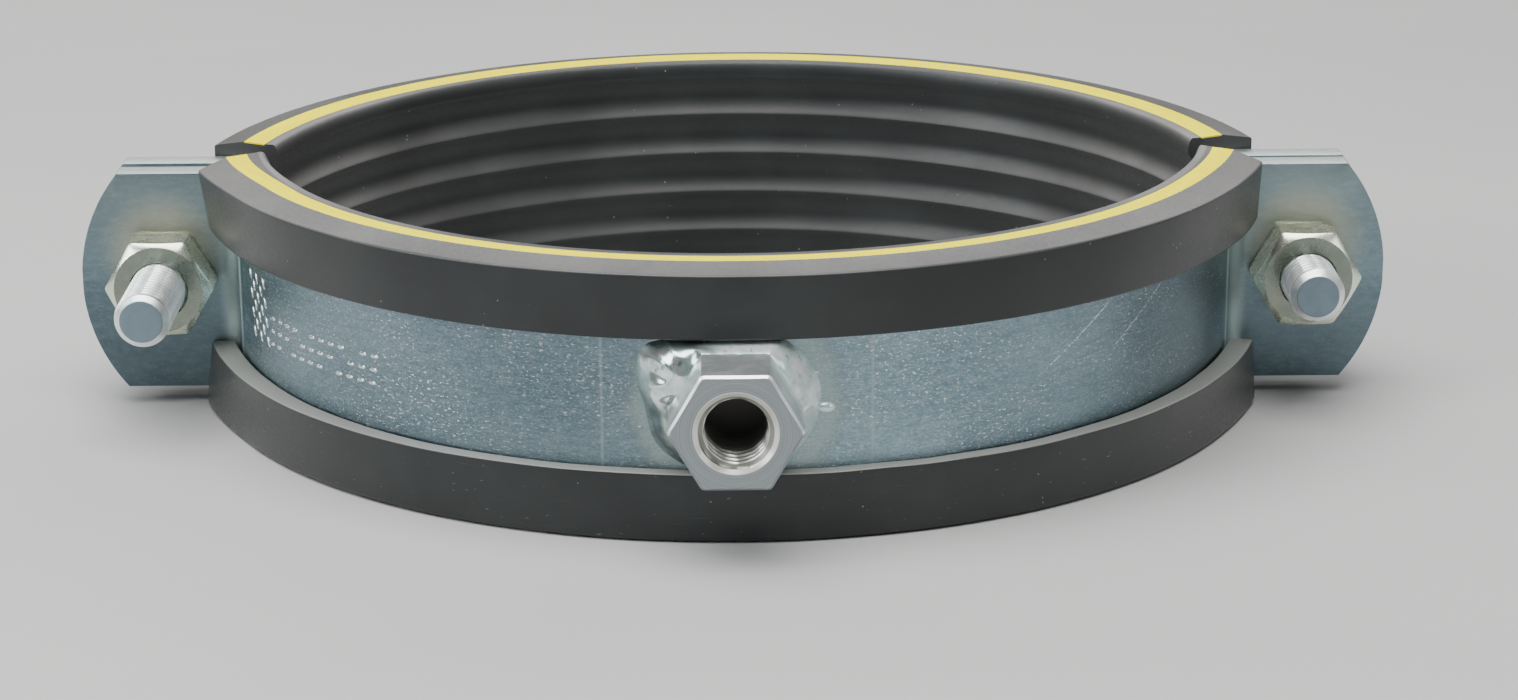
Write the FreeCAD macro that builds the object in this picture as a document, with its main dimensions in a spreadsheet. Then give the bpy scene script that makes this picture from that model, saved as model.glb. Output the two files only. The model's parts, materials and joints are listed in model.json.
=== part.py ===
"""Two-bolt, rubber-lined pipe support clamp with a welded M12 connection nut.

Frame: millimetres, +Z up.  The clamp lies flat, so the pipe axis is the Z axis, the two halves
part at the plane Y = 0, and the ring is centred on X = 0.  The connection nut faces -Y.  Z = 0 is
the lower face of the rubber liners.

Each half ring is an arc of less than a half circle whose centre lies beyond the parting plane, so
the closed ring is a little longer from ear to ear than it is from front to rear.
"""
import FreeCAD, Part
import math
import os

import Sketcher

doc = FreeCAD.newDocument("pipe_clamp")

# ---------------------------------------------------------------------------------------------
# Driving dimensions: alias, value, meaning
# ---------------------------------------------------------------------------------------------
DIMENSIONS = [
    ("arc_offset", 15.0, "distance of each liner's centre beyond the parting plane"),
    ("band_arc_offset", 12.0, "distance of each band's centre beyond the parting plane"),
    ("band_width", 40.0, "width of the flat steel strip, along Z"),
    ("band_thickness", 5.0, "thickness of the steel strip"),
    ("band_outer_radius", 91.7, "outer radius of the steel half ring"),
    ("band_bottom", 3.2, "height of the strip's lower edge"),
    ("bend_radius", 3.5, "radius of the hollow side of the bend from ring to ear"),
    ("ear_tip_reach", 117.9, "X of the ear's rounded tip"),
    ("ear_corner_reach", 110.6, "X of the ear's upper and lower corners"),
    ("left_gap", 2.4, "opening between the left ears as assembled"),
    ("right_gap", 1.2, "opening between the right ears as assembled"),
    ("bolt_reach", 103.0, "X of the bolt axes"),
    ("bolt_height", 23.7, "height of the clamp bolts' axes"),
    ("ear_hole_radius", 5.5, "clearance hole for the clamp bolt"),
    ("liner_outer_radius", 97.3, "outer radius of the rubber lips"),
    ("lip_inner_radius", 94.7, "inner radius of the rubber lips"),
    ("channel_floor_radius", 89.7, "radius of the liner's channel behind the strip"),
    ("liner_inner_radius", 85.0, "radius of the liner's sealing crests"),
    ("liner_height", 46.0, "height of the rubber liner"),
    ("front_liner_half_angle", 80.4, "half of the front liner's arc"),
    ("rear_liner_half_angle", 77.2, "half of the rear liner's arc"),
    ("lower_lip_top", 11.7, "height where the lower lip ends"),
    ("upper_lip_bottom", 34.3, "height where the upper lip begins"),
    ("lip_shoulder", 45.1, "height of the upper lip's outer edge"),
    ("liner_edge_round", 1.5, "set-back of the liner's inner edges"),
    ("rib_pitch", 8.0, "spacing of the liner's inner grooves"),
    ("rib_groove_radius", 2.9, "radius of a groove in the liner's inner wall"),
    ("rib_groove_depth", 1.5, "depth of a groove in the liner's inner wall"),
    ("rib_groove_count", 5, "number of grooves"),
    ("first_groove_height", 7.0, "height of the lowest groove"),
    ("stripe_inner_radius", 87.6, "inner radius of the coloured stripe"),
    ("stripe_outer_radius", 91.6, "outer radius of the coloured stripe"),
    ("stripe_inner_height", 45.7, "height of the stripe's inner edge"),
    ("stripe_depth", 1.2, "depth of the stripe in the liner's top face"),
    ("lip_trim_reach", 94.5, "X where the front upper lip is trimmed short of the ear"),
    ("lip_trim_back", 12.0, "distance of that trimmed corner from the parting plane"),
    ("lip_trim_height", 30.0, "height above which the front liner's ends are trimmed"),
    ("boss_height", 23.2, "height of the connection nut's axis"),
    ("boss_front", 95.7, "distance of the connection nut's face in front of the parting plane"),
    ("boss_back", 78.9, "start of the connection nut, inside the strip"),
    ("boss_flats", 19.0, "connection nut across flats"),
    ("boss_thread_radius", 5.1, "minor radius of the M12 thread"),
    ("boss_chamfer_radius", 7.25, "mouth radius of the thread's lead-in"),
    ("boss_chamfer_depth", 2.2, "depth of the thread's lead-in"),
    ("boss_back_chamfer", 1.8, "depth of the 45 degree chamfer at the thread's back"),
    ("weld_base_radius", 15.0, "radius of the weld where it meets the strip"),
    ("weld_top_radius", 10.6, "radius of the weld where it meets the nut"),
    ("weld_top", 84.6, "distance of the weld's top in front of the parting plane"),
    ("weld_base", 78.4, "start of the weld, inside the strip"),
    ("bolt_radius", 4.95, "radius of the M10 bolts"),
    ("bolt_end_radius", 3.6, "radius of the flat on the bolt's chamfered end"),
    ("bolt_end_chamfer", 1.3, "length of the bolt's end chamfer"),
    ("left_bolt_length", 40.0, "M10 x 40 bolt, under the head"),
    ("right_bolt_length", 30.0, "M10 x 30 bolt, under the head"),
    ("head_height", 6.4, "height of the bolt head"),
    ("wrench_flats", 17.0, "bolt heads and clamp nuts across flats"),
    ("nut_height", 8.0, "height of the M10 clamp nut"),
    ("nut_bore_radius", 5.0, "bore of the M10 clamp nut"),
    ("nut_bore_mouth", 5.5, "mouth radius of the clamp nut's countersinks"),
    ("chamfer_face_ratio", 0.95, "diameter of a hexagon's chamfered face over its flats"),
]

sheet = doc.addObject("Spreadsheet::Sheet", "dims")
for row, (alias, value, meaning) in enumerate(DIMENSIONS, start=1):
    sheet.set(f"A{row}", alias)
    sheet.set(f"B{row}", str(value))
    sheet.set(f"C{row}", meaning)
    sheet.setAlias(f"B{row}", alias)
doc.recompute()


def dim(alias):
    """Value of a driving dimension."""
    return float(sheet.get(alias))


def bind(obj, **expressions):
    """Bind properties of obj to expressions; an underscore in a key stands for a dot."""
    for key, expression in expressions.items():
        obj.setExpression(key.replace("_", "."), expression)


nodes = []          # finished sub-parts, one per exported file


def finish_node(obj, label):
    """Register a finished sub-part under the name of its file."""
    obj.Label = label
    nodes.append(obj)
    return obj


# ---------------------------------------------------------------------------------------------
# Sketch helpers
# ---------------------------------------------------------------------------------------------
START, END, CENTRE = 1, 2, 3


def origin_plane(body, role):
    for feature in body.Origin.OriginFeatures:
        if feature.Role == role:
            return feature
    raise ValueError(role)


def new_sketch(body, name, role):
    sketch = body.newObject("Sketcher::SketchObject", name)
    sketch.AttachmentSupport = [(origin_plane(body, role), "")]
    sketch.MapMode = "FlatFace"
    return sketch


def constrain(sketch, name, expression, *arguments):
    """Add a dimensional constraint, name it and bind it to an expression."""
    index = sketch.addConstraint(Sketcher.Constraint(*arguments))
    sketch.renameConstraint(index, name)
    sketch.setExpression(f"Constraints.{name}", expression)


def relate(sketch, *arguments):
    """Add a geometric constraint."""
    sketch.addConstraint(Sketcher.Constraint(*arguments))


def vector(x, y):
    return FreeCAD.Vector(x, y, 0)


def arc(centre, radius, start_degrees, end_degrees):
    circle = Part.Circle(centre, FreeCAD.Vector(0, 0, 1), radius)
    return Part.ArcOfCircle(circle, math.radians(start_degrees), math.radians(end_degrees))


def line(x1, y1, x2, y2):
    return Part.LineSegment(vector(x1, y1), vector(x2, y2))


# ---------------------------------------------------------------------------------------------
# Steel half bands: one strip bent to an arc with an ear at each end
# ---------------------------------------------------------------------------------------------
def band_sketch(body, name, left_gap, right_gap):
    """Plan view of a half band that bulges towards -Y, fully constrained.

    left_gap and right_gap are the aliases of the openings between this half's ears and the
    other half's ears.
    """
    sketch = new_sketch(body, name, "XY_Plane")
    offset = dim("band_arc_offset")
    outer = dim("band_outer_radius")
    thickness = dim("band_thickness")
    bend = dim("bend_radius")
    tip = dim("ear_tip_reach")
    centre = vector(0, offset)

    def bend_centre(side, gap):
        """Common centre of the two bend arcs on one side (-1 left, +1 right)."""
        y = -gap / 2 - thickness - bend
        x = side * math.sqrt((outer + bend) ** 2 - (offset - y) ** 2)
        return vector(x, y)

    left = bend_centre(-1, dim(left_gap))
    right = bend_centre(+1, dim(right_gap))
    left_angle = math.degrees(math.atan2(left.y - offset, left.x)) + 360
    right_angle = math.degrees(math.atan2(right.y - offset, right.x)) + 360

    edges = {}

    def add(key, geometry):
        edges[key] = sketch.addGeometry(geometry, False)

    add("outer", arc(centre, outer, left_angle, right_angle))
    add("inner", arc(centre, outer - thickness, left_angle, right_angle))
    for side, where, angle in (("right", right, right_angle), ("left", left, left_angle)):
        facing = angle - 180
        span = (90, facing) if side == "right" else (facing, 90)
        add(f"{side}_hollow", arc(where, bend, *span))
        add(f"{side}_crown", arc(where, bend + thickness, *span))
        reach = tip if side == "right" else -tip
        add(f"{side}_ear_outer", line(where.x, where.y + bend, reach, where.y + bend))
        add(f"{side}_ear_end", line(reach, where.y + bend, reach, where.y + bend + thickness))
        add(f"{side}_ear_inner",
            line(reach, where.y + bend + thickness, where.x, where.y + bend + thickness))

    def tangent(first, first_end, second, second_end):
        relate(sketch, "Tangent", edges[first], first_end, edges[second], second_end)

    def coincident(first, first_end, second, second_end):
        relate(sketch, "Coincident", edges[first], first_end, edges[second], second_end)

    tangent("outer", END, "right_hollow", END)
    tangent("right_hollow", START, "right_ear_outer", START)
    tangent("right_ear_inner", END, "right_crown", START)
    tangent("right_crown", END, "inner", END)
    tangent("inner", START, "left_crown", START)
    tangent("left_crown", END, "left_ear_inner", END)
    tangent("left_ear_outer", START, "left_hollow", END)
    tangent("left_hollow", START, "outer", START)
    coincident("outer", CENTRE, "inner", CENTRE)
    relate(sketch, "PointOnObject", edges["outer"], CENTRE, -2)
    constrain(sketch, "centre_offset", "dims.band_arc_offset", "DistanceY", -1, START,
              edges["outer"], CENTRE, offset)
    constrain(sketch, "outer_radius", "dims.band_outer_radius", "Radius", edges["outer"], outer)
    constrain(sketch, "inner_radius", "dims.band_outer_radius - dims.band_thickness", "Radius",
              edges["inner"], outer - thickness)
    for side, gap in (("right", right_gap), ("left", left_gap)):
        coincident(f"{side}_ear_outer", END, f"{side}_ear_end", START)
        coincident(f"{side}_ear_end", END, f"{side}_ear_inner", START)
        relate(sketch, "Horizontal", edges[f"{side}_ear_outer"])
        relate(sketch, "Horizontal", edges[f"{side}_ear_inner"])
        relate(sketch, "Vertical", edges[f"{side}_ear_end"])
        constrain(sketch, f"{side}_hollow_radius", "dims.bend_radius", "Radius",
                  edges[f"{side}_hollow"], bend)
        constrain(sketch, f"{side}_inner_plane", f"dims.{gap} / 2", "DistanceY",
                  edges[f"{side}_ear_inner"], START, -1, START, dim(gap) / 2)
        constrain(sketch, f"{side}_ear_thickness", "dims.band_thickness", "DistanceY",
                  edges[f"{side}_ear_end"], START, edges[f"{side}_ear_end"], END, thickness)
        ends = (edges[f"{side}_ear_end"], START)
        origin = (-1, START)
        order = origin + ends if side == "right" else ends + origin
        constrain(sketch, f"{side}_tip", "dims.ear_tip_reach", "DistanceX", *order, tip)
        constrain(sketch, f"{side}_crown_radius", "dims.bend_radius + dims.band_thickness",
                  "Radius", edges[f"{side}_crown"], bend + thickness)
    return sketch


EAR_ROUND = ("(pow(dims.band_width / 2; 2) + pow(dims.ear_tip_reach - dims.ear_corner_reach; 2))"
             " / (2 * (dims.ear_tip_reach - dims.ear_corner_reach))")


EAR_CUTTER_MARGIN = 4       # millimetres the ear cutters reach past the strip's edges


def ear_trim_sketch(body, name):
    """Two cutters that round the ears' ends: each lies between an arc and a straight back."""
    sketch = new_sketch(body, name, "XZ_Plane")
    half_width = dim("band_width") / 2
    rise = dim("ear_tip_reach") - dim("ear_corner_reach")
    radius = (half_width ** 2 + rise ** 2) / (2 * rise)
    centre_x = dim("ear_tip_reach") - radius
    back = dim("ear_tip_reach") + rise
    reach = half_width + EAR_CUTTER_MARGIN
    angle = math.degrees(math.asin(reach / radius))
    arc_x = centre_x + math.sqrt(radius ** 2 - reach ** 2)
    for side in (-1, 1):
        spans = (-angle, angle) if side > 0 else (180 - angle, 180 + angle)
        round_edge = sketch.addGeometry(arc(vector(side * centre_x, half_width), radius, *spans))
        low, high = half_width - reach, half_width + reach
        lower = sketch.addGeometry(line(side * arc_x, low, side * back, low))
        rear = sketch.addGeometry(line(side * back, low, side * back, high))
        upper = sketch.addGeometry(line(side * back, high, side * arc_x, high))
        low_end, high_end = (START, END) if side > 0 else (END, START)
        relate(sketch, "Coincident", round_edge, low_end, lower, START)
        relate(sketch, "Coincident", lower, END, rear, START)
        relate(sketch, "Coincident", rear, END, upper, START)
        relate(sketch, "Coincident", upper, END, round_edge, high_end)
        relate(sketch, "Horizontal", lower)
        relate(sketch, "Vertical", rear)
        relate(sketch, "Horizontal", upper)
        tag = "right" if side > 0 else "left"
        constrain(sketch, f"{tag}_radius", EAR_ROUND, "Radius", round_edge, radius)
        constrain(sketch, f"{tag}_middle", "dims.band_width / 2", "DistanceY", -1, START,
                  round_edge, CENTRE, half_width)
        constrain(sketch, f"{tag}_low", f"{EAR_CUTTER_MARGIN} mm", "DistanceY", rear, START,
                  -1, START, EAR_CUTTER_MARGIN)
        constrain(sketch, f"{tag}_high", f"dims.band_width + {2 * EAR_CUTTER_MARGIN}",
                  "DistanceY", rear, START, rear, END, 2 * reach)
        middle = (round_edge, CENTRE)
        back_point = (rear, START)
        origin = (-1, START)
        centre_order = origin + middle if side > 0 else middle + origin
        back_order = origin + back_point if side > 0 else back_point + origin
        constrain(sketch, f"{tag}_centre", f"dims.ear_tip_reach - {EAR_ROUND}", "DistanceX",
                  *centre_order, centre_x)
        constrain(sketch, f"{tag}_back", "2 * dims.ear_tip_reach - dims.ear_corner_reach",
                  "DistanceX", *back_order, back)
    return sketch


def ear_hole_sketch(body, name):
    sketch = new_sketch(body, name, "XZ_Plane")
    height = dim("bolt_height") - dim("band_bottom")
    for side in (-1, 1):
        centre = vector(side * dim("bolt_reach"), height)
        hole = sketch.addGeometry(Part.Circle(centre, FreeCAD.Vector(0, 0, 1),
                                              dim("ear_hole_radius")))
        tag = "right" if side > 0 else "left"
        order = (-1, START, hole, CENTRE) if side > 0 else (hole, CENTRE, -1, START)
        constrain(sketch, f"{tag}_radius", "dims.ear_hole_radius", "Radius", hole,
                  dim("ear_hole_radius"))
        constrain(sketch, f"{tag}_reach", "dims.bolt_reach", "DistanceX", *order,
                  dim("bolt_reach"))
        constrain(sketch, f"{tag}_height", "dims.bolt_height - dims.band_bottom", "DistanceY",
                  -1, START, hole, CENTRE, height)
    return sketch


def through_pocket(body, sketch, name):
    """Cut a sketch through the whole body, both ways, and check that it removed material."""
    before = body.Shape.Volume
    pocket = body.newObject("PartDesign::Pocket", name)
    pocket.Profile = sketch
    pocket.Type = "ThroughAll"
    pocket.Midplane = True
    sketch.Visibility = False
    doc.recompute()
    if not body.Shape.Volume < before - 1:
        raise RuntimeError(f"{name} removed nothing")
    return pocket


def make_band(label, left_gap, right_gap, turn):
    """Steel half band; turn is the rotation about Z that puts it in its place."""
    body = doc.addObject("PartDesign::Body", label)
    plan = band_sketch(body, f"{label}_plan", left_gap, right_gap)
    pad = body.newObject("PartDesign::Pad", f"{label}_strip")
    pad.Profile = plan
    pad.setExpression("Length", "dims.band_width")
    doc.recompute()
    through_pocket(body, ear_trim_sketch(body, f"{label}_ear_outline"), f"{label}_ear_trim")
    through_pocket(body, ear_hole_sketch(body, f"{label}_holes"), f"{label}_bolt_holes")
    body.Placement.Rotation = FreeCAD.Rotation(FreeCAD.Vector(0, 0, 1), turn)
    body.setExpression("Placement.Base.z", "dims.band_bottom")
    return finish_node(body, label)


# ---------------------------------------------------------------------------------------------
# Rubber liners and their coloured stripes: sections revolved about the half ring's centre
# ---------------------------------------------------------------------------------------------
FACING_FRONT = -90
FACING_REAR = 90


def revolved_body(label, points, facing):
    """Body revolved from a closed outline in the (radius, height) plane.

    points is a list of ((radius value, expression), (height value, expression)).
    """
    body = doc.addObject("PartDesign::Body", label)
    sketch = new_sketch(body, f"{label}_section", "XZ_Plane")
    corners = [(dim_value(r), dim_value(z)) for r, z in points]
    count = len(corners)
    for index in range(count):
        after = corners[(index + 1) % count]
        sketch.addGeometry(line(*corners[index], *after))
    for index, (radius, height) in enumerate(points):
        relate(sketch, "Coincident", index, END, (index + 1) % count, START)
        constrain(sketch, f"radius_{index}", radius, "DistanceX", -1, START, index, START,
                  corners[index][0])
        if corners[index][1] == 0:
            relate(sketch, "PointOnObject", index, START, -1)
        else:
            constrain(sketch, f"height_{index}", height, "DistanceY", -1, START, index, START,
                      corners[index][1])
    revolution = body.newObject("PartDesign::Revolution", f"{label}_revolution")
    revolution.Profile = sketch
    revolution.ReferenceAxis = (sketch, ["V_Axis"])
    revolution.Midplane = True
    half = "front" if facing == FACING_FRONT else "rear"
    revolution.setExpression("Angle", f"2 * dims.{half}_liner_half_angle")
    place_arc(body, facing)
    doc.recompute()
    return body


def dim_value(expression):
    """Value of an expression over the driving dimensions, worked out in a spare cell."""
    sheet.set("E1", f"={expression.replace('dims.', '')}")
    sheet.recompute()
    value = float(sheet.get("E1"))
    sheet.clear("E1")
    return value


def place_arc(body, facing):
    """Turn a body revolved about its own Z axis to the front or the rear half ring."""
    body.Placement.Rotation = FreeCAD.Rotation(FreeCAD.Vector(0, 0, 1), facing)
    sign = "" if facing == FACING_FRONT else "-"
    body.setExpression("Placement.Base.y", f"{sign}dims.arc_offset")


LINER_SECTION = [
    ("dims.liner_inner_radius + dims.liner_edge_round", "0"),
    ("dims.liner_outer_radius", "0"),
    ("dims.liner_outer_radius", "dims.lower_lip_top"),
    ("dims.lip_inner_radius", "dims.lower_lip_top"),
    ("dims.lip_inner_radius", "dims.band_bottom"),
    ("dims.channel_floor_radius", "dims.band_bottom"),
    ("dims.channel_floor_radius", "dims.band_bottom + dims.band_width"),
    ("dims.lip_inner_radius", "dims.band_bottom + dims.band_width"),
    ("dims.lip_inner_radius", "dims.upper_lip_bottom"),
    ("dims.liner_outer_radius", "dims.upper_lip_bottom"),
    ("dims.liner_outer_radius", "dims.lip_shoulder"),
    ("dims.stripe_outer_radius", "dims.liner_height"),
    ("dims.stripe_inner_radius", "dims.stripe_inner_height"),
    ("dims.liner_inner_radius", "dims.liner_height - dims.liner_edge_round"),
    ("dims.liner_inner_radius", "dims.liner_edge_round"),
]

STRIPE_SECTION = [
    ("dims.stripe_inner_radius", "dims.liner_height - dims.stripe_depth"),
    ("dims.stripe_outer_radius", "dims.liner_height - dims.stripe_depth"),
    ("dims.stripe_outer_radius", "dims.liner_height"),
    ("dims.stripe_inner_radius", "dims.stripe_inner_height"),
]


def add_grooves(body, label):
    """Cut the parallel grooves that leave the liner's sealing ribs between them."""
    before = body.Shape.Volume
    sketch = new_sketch(body, f"{label}_groove_section", "XZ_Plane")
    radius = dim("rib_groove_radius")
    reach = dim("liner_inner_radius") - radius + dim("rib_groove_depth")
    circle = sketch.addGeometry(Part.Circle(vector(reach, dim("first_groove_height")),
                                            FreeCAD.Vector(0, 0, 1), radius))
    constrain(sketch, "groove_radius", "dims.rib_groove_radius", "Radius", circle, radius)
    constrain(sketch, "groove_reach",
              "dims.liner_inner_radius - dims.rib_groove_radius + dims.rib_groove_depth",
              "DistanceX", -1, START, circle, CENTRE, reach)
    constrain(sketch, "groove_height", "dims.first_groove_height", "DistanceY", -1, START,
              circle, CENTRE, dim("first_groove_height"))
    groove = body.newObject("PartDesign::Groove", f"{label}_groove")
    groove.Profile = sketch
    groove.ReferenceAxis = (sketch, ["V_Axis"])
    groove.Midplane = True
    groove.Angle = 359
    doc.recompute()
    pattern = body.newObject("PartDesign::LinearPattern", f"{label}_grooves")
    pattern.Originals = [groove]
    pattern.Direction = (sketch, ["V_Axis"])
    pattern.setExpression("Length", "dims.rib_pitch * (dims.rib_groove_count - 1)")
    pattern.setExpression("Occurrences", "dims.rib_groove_count")
    body.Tip = pattern
    doc.recompute()
    if not body.Shape.Volume < before - 1:
        raise RuntimeError(f"{label} grooves removed nothing")


def cut(base, tool, name):
    result = doc.addObject("Part::Cut", name)
    result.Base = base
    result.Tool = tool
    return result


TRIM_SIZE = 40              # millimetres, side of the square blocks that trim the front liner
TRIM_OVERLAP = 10           # millimetres the blocks reach outward past the trimmed corner


def trimmed_ends(liner, name):
    """Cut the upper part of a front liner's ends back at 45 degrees, clear of the ears' bends."""
    block = primitive("Box", f"{name}_right_trim", Length=f"{TRIM_SIZE} mm",
                      Width=f"{TRIM_SIZE} mm", Height=f"{TRIM_SIZE} mm")
    block.Placement.Rotation = FreeCAD.Rotation(FreeCAD.Vector(0, 0, 1), 45)
    bind(block, Placement_Base_x=f"dims.lip_trim_reach + {TRIM_OVERLAP}",
         Placement_Base_y=f"-dims.lip_trim_back - {TRIM_OVERLAP}",
         Placement_Base_z="dims.lip_trim_height")
    mirrored = doc.addObject("Part::Mirroring", f"{name}_left_trim")
    mirrored.Source = block
    mirrored.Normal = FreeCAD.Vector(1, 0, 0)
    one_end = cut(liner, block, f"{name}_one_end")
    return cut(one_end, mirrored, name)


def make_liner(half, band, facing):
    """Rubber liner of one half, moulded round its band's edges, and the stripe in its top."""
    blank = revolved_body(f"{half}_liner_blank", LINER_SECTION, facing)
    add_grooves(blank, f"{half}_liner")
    stripe = revolved_body(f"{half}_stripe_blank", STRIPE_SECTION, facing)
    seated = cut(blank, band, f"{half}_liner_seated")
    liner = cut(seated, stripe, f"{half}_liner_striped")
    if facing == FACING_FRONT:
        liner = trimmed_ends(liner, f"{half}_liner_trimmed")
        stripe = trimmed_ends(stripe, f"{half}_stripe_trimmed")
    finish_node(stripe, f"{half}_liner_stripe")
    return finish_node(liner, f"{half}_liner")


# ---------------------------------------------------------------------------------------------
# Turned and hexagonal pieces: built along local Z, then laid along the Y axis
# ---------------------------------------------------------------------------------------------
TOWARDS_FRONT = FreeCAD.Rotation(FreeCAD.Vector(1, 0, 0), 90)
TOWARDS_REAR = FreeCAD.Rotation(FreeCAD.Vector(1, 0, 0), -90)
CHAMFER_SLOPE = "tan(60 deg)"      # radius gained per depth on a hexagon's 30 degree chamfer


def primitive(kind, name, **expressions):
    obj = doc.addObject(f"Part::{kind}", name)
    for key, expression in expressions.items():
        obj.setExpression(key, expression)
    return obj


def hexagon(name, flats, height):
    """Hexagonal prism with two corners on the X axis."""
    prism = primitive("Prism", name, Circumradius=f"{flats} / (2 * cos(30 deg))", Height=height)
    prism.Polygon = 6
    return prism


def chamfered_hexagon(name, flats, height, both_ends):
    """Hexagonal prism whose corners are turned off at its far end, or at both ends."""
    prism = hexagon(f"{name}_prism", flats, height)
    face = f"{flats} / 2 * dims.chamfer_face_ratio"
    wide = f"{face} + {height} * {CHAMFER_SLOPE}"
    solids = [prism, primitive("Cone", f"{name}_far_cone", Radius1=wide, Radius2=face,
                               Height=height)]
    if both_ends:
        solids.append(primitive("Cone", f"{name}_near_cone", Radius1=face, Radius2=wide,
                                Height=height))
    common = doc.addObject("Part::MultiCommon", f"{name}_hexagon")
    common.Shapes = solids
    return common


def bore(name, radius, length):
    """Cylinder that reaches a little past both ends of a bore of the given length."""
    tool = primitive("Cylinder", name, Radius=radius, Height=f"{length} + 2")
    tool.Placement.Base.z = -1
    return tool


def countersink(name, wide, narrow, depth, at_height, opens_up):
    """Cone that widens a bore's mouth at the given height."""
    radii = {"Radius1": narrow, "Radius2": wide} if opens_up else {"Radius1": wide,
                                                                  "Radius2": narrow}
    tool = primitive("Cone", name, Height=depth, **radii)
    tool.setExpression("Placement.Base.z", at_height)
    return tool


def make_connection_nut(band):
    """Hexagonal M12 connection nut, its back shaped to the curved strip."""
    height = "(dims.boss_front - dims.boss_back)"
    blank = chamfered_hexagon("connection_nut_blank", "dims.boss_flats", height, False)
    bored = cut(blank, bore("connection_nut_bore", "dims.boss_thread_radius", height),
                "connection_nut_bored")
    mouth = countersink("connection_nut_mouth", "dims.boss_chamfer_radius",
                        "dims.boss_thread_radius", "dims.boss_chamfer_depth",
                        f"{height} - dims.boss_chamfer_depth", True)
    back = countersink("connection_nut_back_mouth",
                       "(dims.boss_thread_radius + dims.boss_back_chamfer)",
                       "dims.boss_thread_radius", "dims.boss_back_chamfer", "0 mm", False)
    opened = cut(bored, mouth, "connection_nut_opened")
    chamfered = cut(opened, back, "connection_nut_chamfered")
    chamfered.Placement.Rotation = TOWARDS_FRONT
    bind(chamfered, Placement_Base_y="-dims.boss_back", Placement_Base_z="dims.boss_height")
    finish_node(cut(chamfered, band, "connection_nut"), "connection_nut")


def make_weld(band, liner):
    """Fillet weld round the foot of the connection nut, between the liner's two lips."""
    height = "(dims.weld_top - dims.weld_base)"
    cone = primitive("Cone", "weld_cone", Radius1="dims.weld_base_radius",
                     Radius2="dims.weld_top_radius", Height=height)
    cone.Placement.Rotation = TOWARDS_FRONT
    bind(cone, Placement_Base_y="-dims.weld_base", Placement_Base_z="dims.boss_height")
    room = primitive("Box", "weld_room", Length="4 * dims.weld_base_radius",
                     Width="dims.boss_front",
                     Height="dims.upper_lip_bottom - dims.lower_lip_top")
    bind(room, Placement_Base_x="-2 * dims.weld_base_radius",
         Placement_Base_y="-dims.boss_front", Placement_Base_z="dims.lower_lip_top")
    between_lips = doc.addObject("Part::MultiCommon", "weld_between_lips")
    between_lips.Shapes = [cone, room]
    core = hexagon("weld_core", "dims.boss_flats", height)
    core.Placement.Rotation = TOWARDS_FRONT
    bind(core, Placement_Base_y="-dims.weld_base", Placement_Base_z="dims.boss_height")
    around_nut = cut(between_lips, core, "weld_around_nut")
    on_band = cut(around_nut, band, "weld_on_band")
    finish_node(cut(on_band, liner, "weld_bead"), "weld_bead")


def make_bolt(side, sign):
    """Hexagon bolt from the rear: its head bears on the rear ear and its thread points -Y."""
    label = f"{side}_bolt"
    length = f"dims.{side}_bolt_length"
    shank = primitive("Cylinder", f"{label}_shank", Radius="dims.bolt_radius",
                      Height=f"{length} - dims.bolt_end_chamfer")
    end = primitive("Cone", f"{label}_end", Radius1="dims.bolt_radius",
                    Radius2="dims.bolt_end_radius", Height="dims.bolt_end_chamfer")
    end.setExpression("Placement.Base.z", f"{length} - dims.bolt_end_chamfer")
    head = chamfered_hexagon(f"{label}_head", "dims.wrench_flats", "dims.head_height", False)
    head.Placement.Rotation = FreeCAD.Rotation(FreeCAD.Vector(1, 0, 0), 180)
    bolt = doc.addObject("Part::MultiFuse", label)
    bolt.Shapes = [shank, end, head]
    bolt.Placement.Rotation = TOWARDS_FRONT
    bind(bolt, Placement_Base_x=f"{sign} * dims.bolt_reach",
         Placement_Base_y=f"dims.{side}_gap / 2 + dims.band_thickness",
         Placement_Base_z="dims.bolt_height")
    return finish_node(bolt, label)


def make_nut(side, sign):
    """M10 nut that bears on the front ear."""
    label = f"{side}_nut"
    hexagon_blank = chamfered_hexagon(label, "dims.wrench_flats", "dims.nut_height", True)
    sink = "(dims.nut_bore_mouth - dims.nut_bore_radius)"
    bored = cut(hexagon_blank, bore(f"{label}_bore", "dims.nut_bore_radius", "dims.nut_height"),
                f"{label}_bored")
    far_mouth = countersink(f"{label}_far_mouth", "dims.nut_bore_mouth", "dims.nut_bore_radius",
                            sink, f"dims.nut_height - {sink}", True)
    near_mouth = countersink(f"{label}_near_mouth", "dims.nut_bore_mouth",
                             "dims.nut_bore_radius", sink, "0 mm", False)
    one_mouth = cut(bored, far_mouth, f"{label}_one_mouth")
    nut = cut(one_mouth, near_mouth, label)
    nut.Placement.Rotation = TOWARDS_FRONT
    bind(nut, Placement_Base_x=f"{sign} * dims.bolt_reach",
         Placement_Base_y=f"-(dims.{side}_gap / 2 + dims.band_thickness)",
         Placement_Base_z="dims.bolt_height")
    return finish_node(nut, label)


# ---------------------------------------------------------------------------------------------
# Assembly
# ---------------------------------------------------------------------------------------------
front_band = make_band("front_band", "left_gap", "right_gap", 0)
rear_band = make_band("rear_band", "right_gap", "left_gap", 180)
front_liner = make_liner("front", front_band, FACING_FRONT)
make_liner("rear", rear_band, FACING_REAR)
make_connection_nut(front_band)
make_weld(front_band, front_liner)
for side, sign in (("left", -1), ("right", 1)):
    make_bolt(side, sign)
    make_nut(side, sign)
doc.recompute()

# ---------------------------------------------------------------------------------------------
# Checks and export
# ---------------------------------------------------------------------------------------------
for obj in doc.Objects:
    if "Invalid" in obj.State or "Error" in obj.State:
        raise RuntimeError(f"{obj.Name} failed: {obj.State}")
for node in nodes:
    shape = node.Shape
    if shape.isNull() or not shape.isValid():
        raise RuntimeError(f"{node.Label} has no valid shape")

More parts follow.
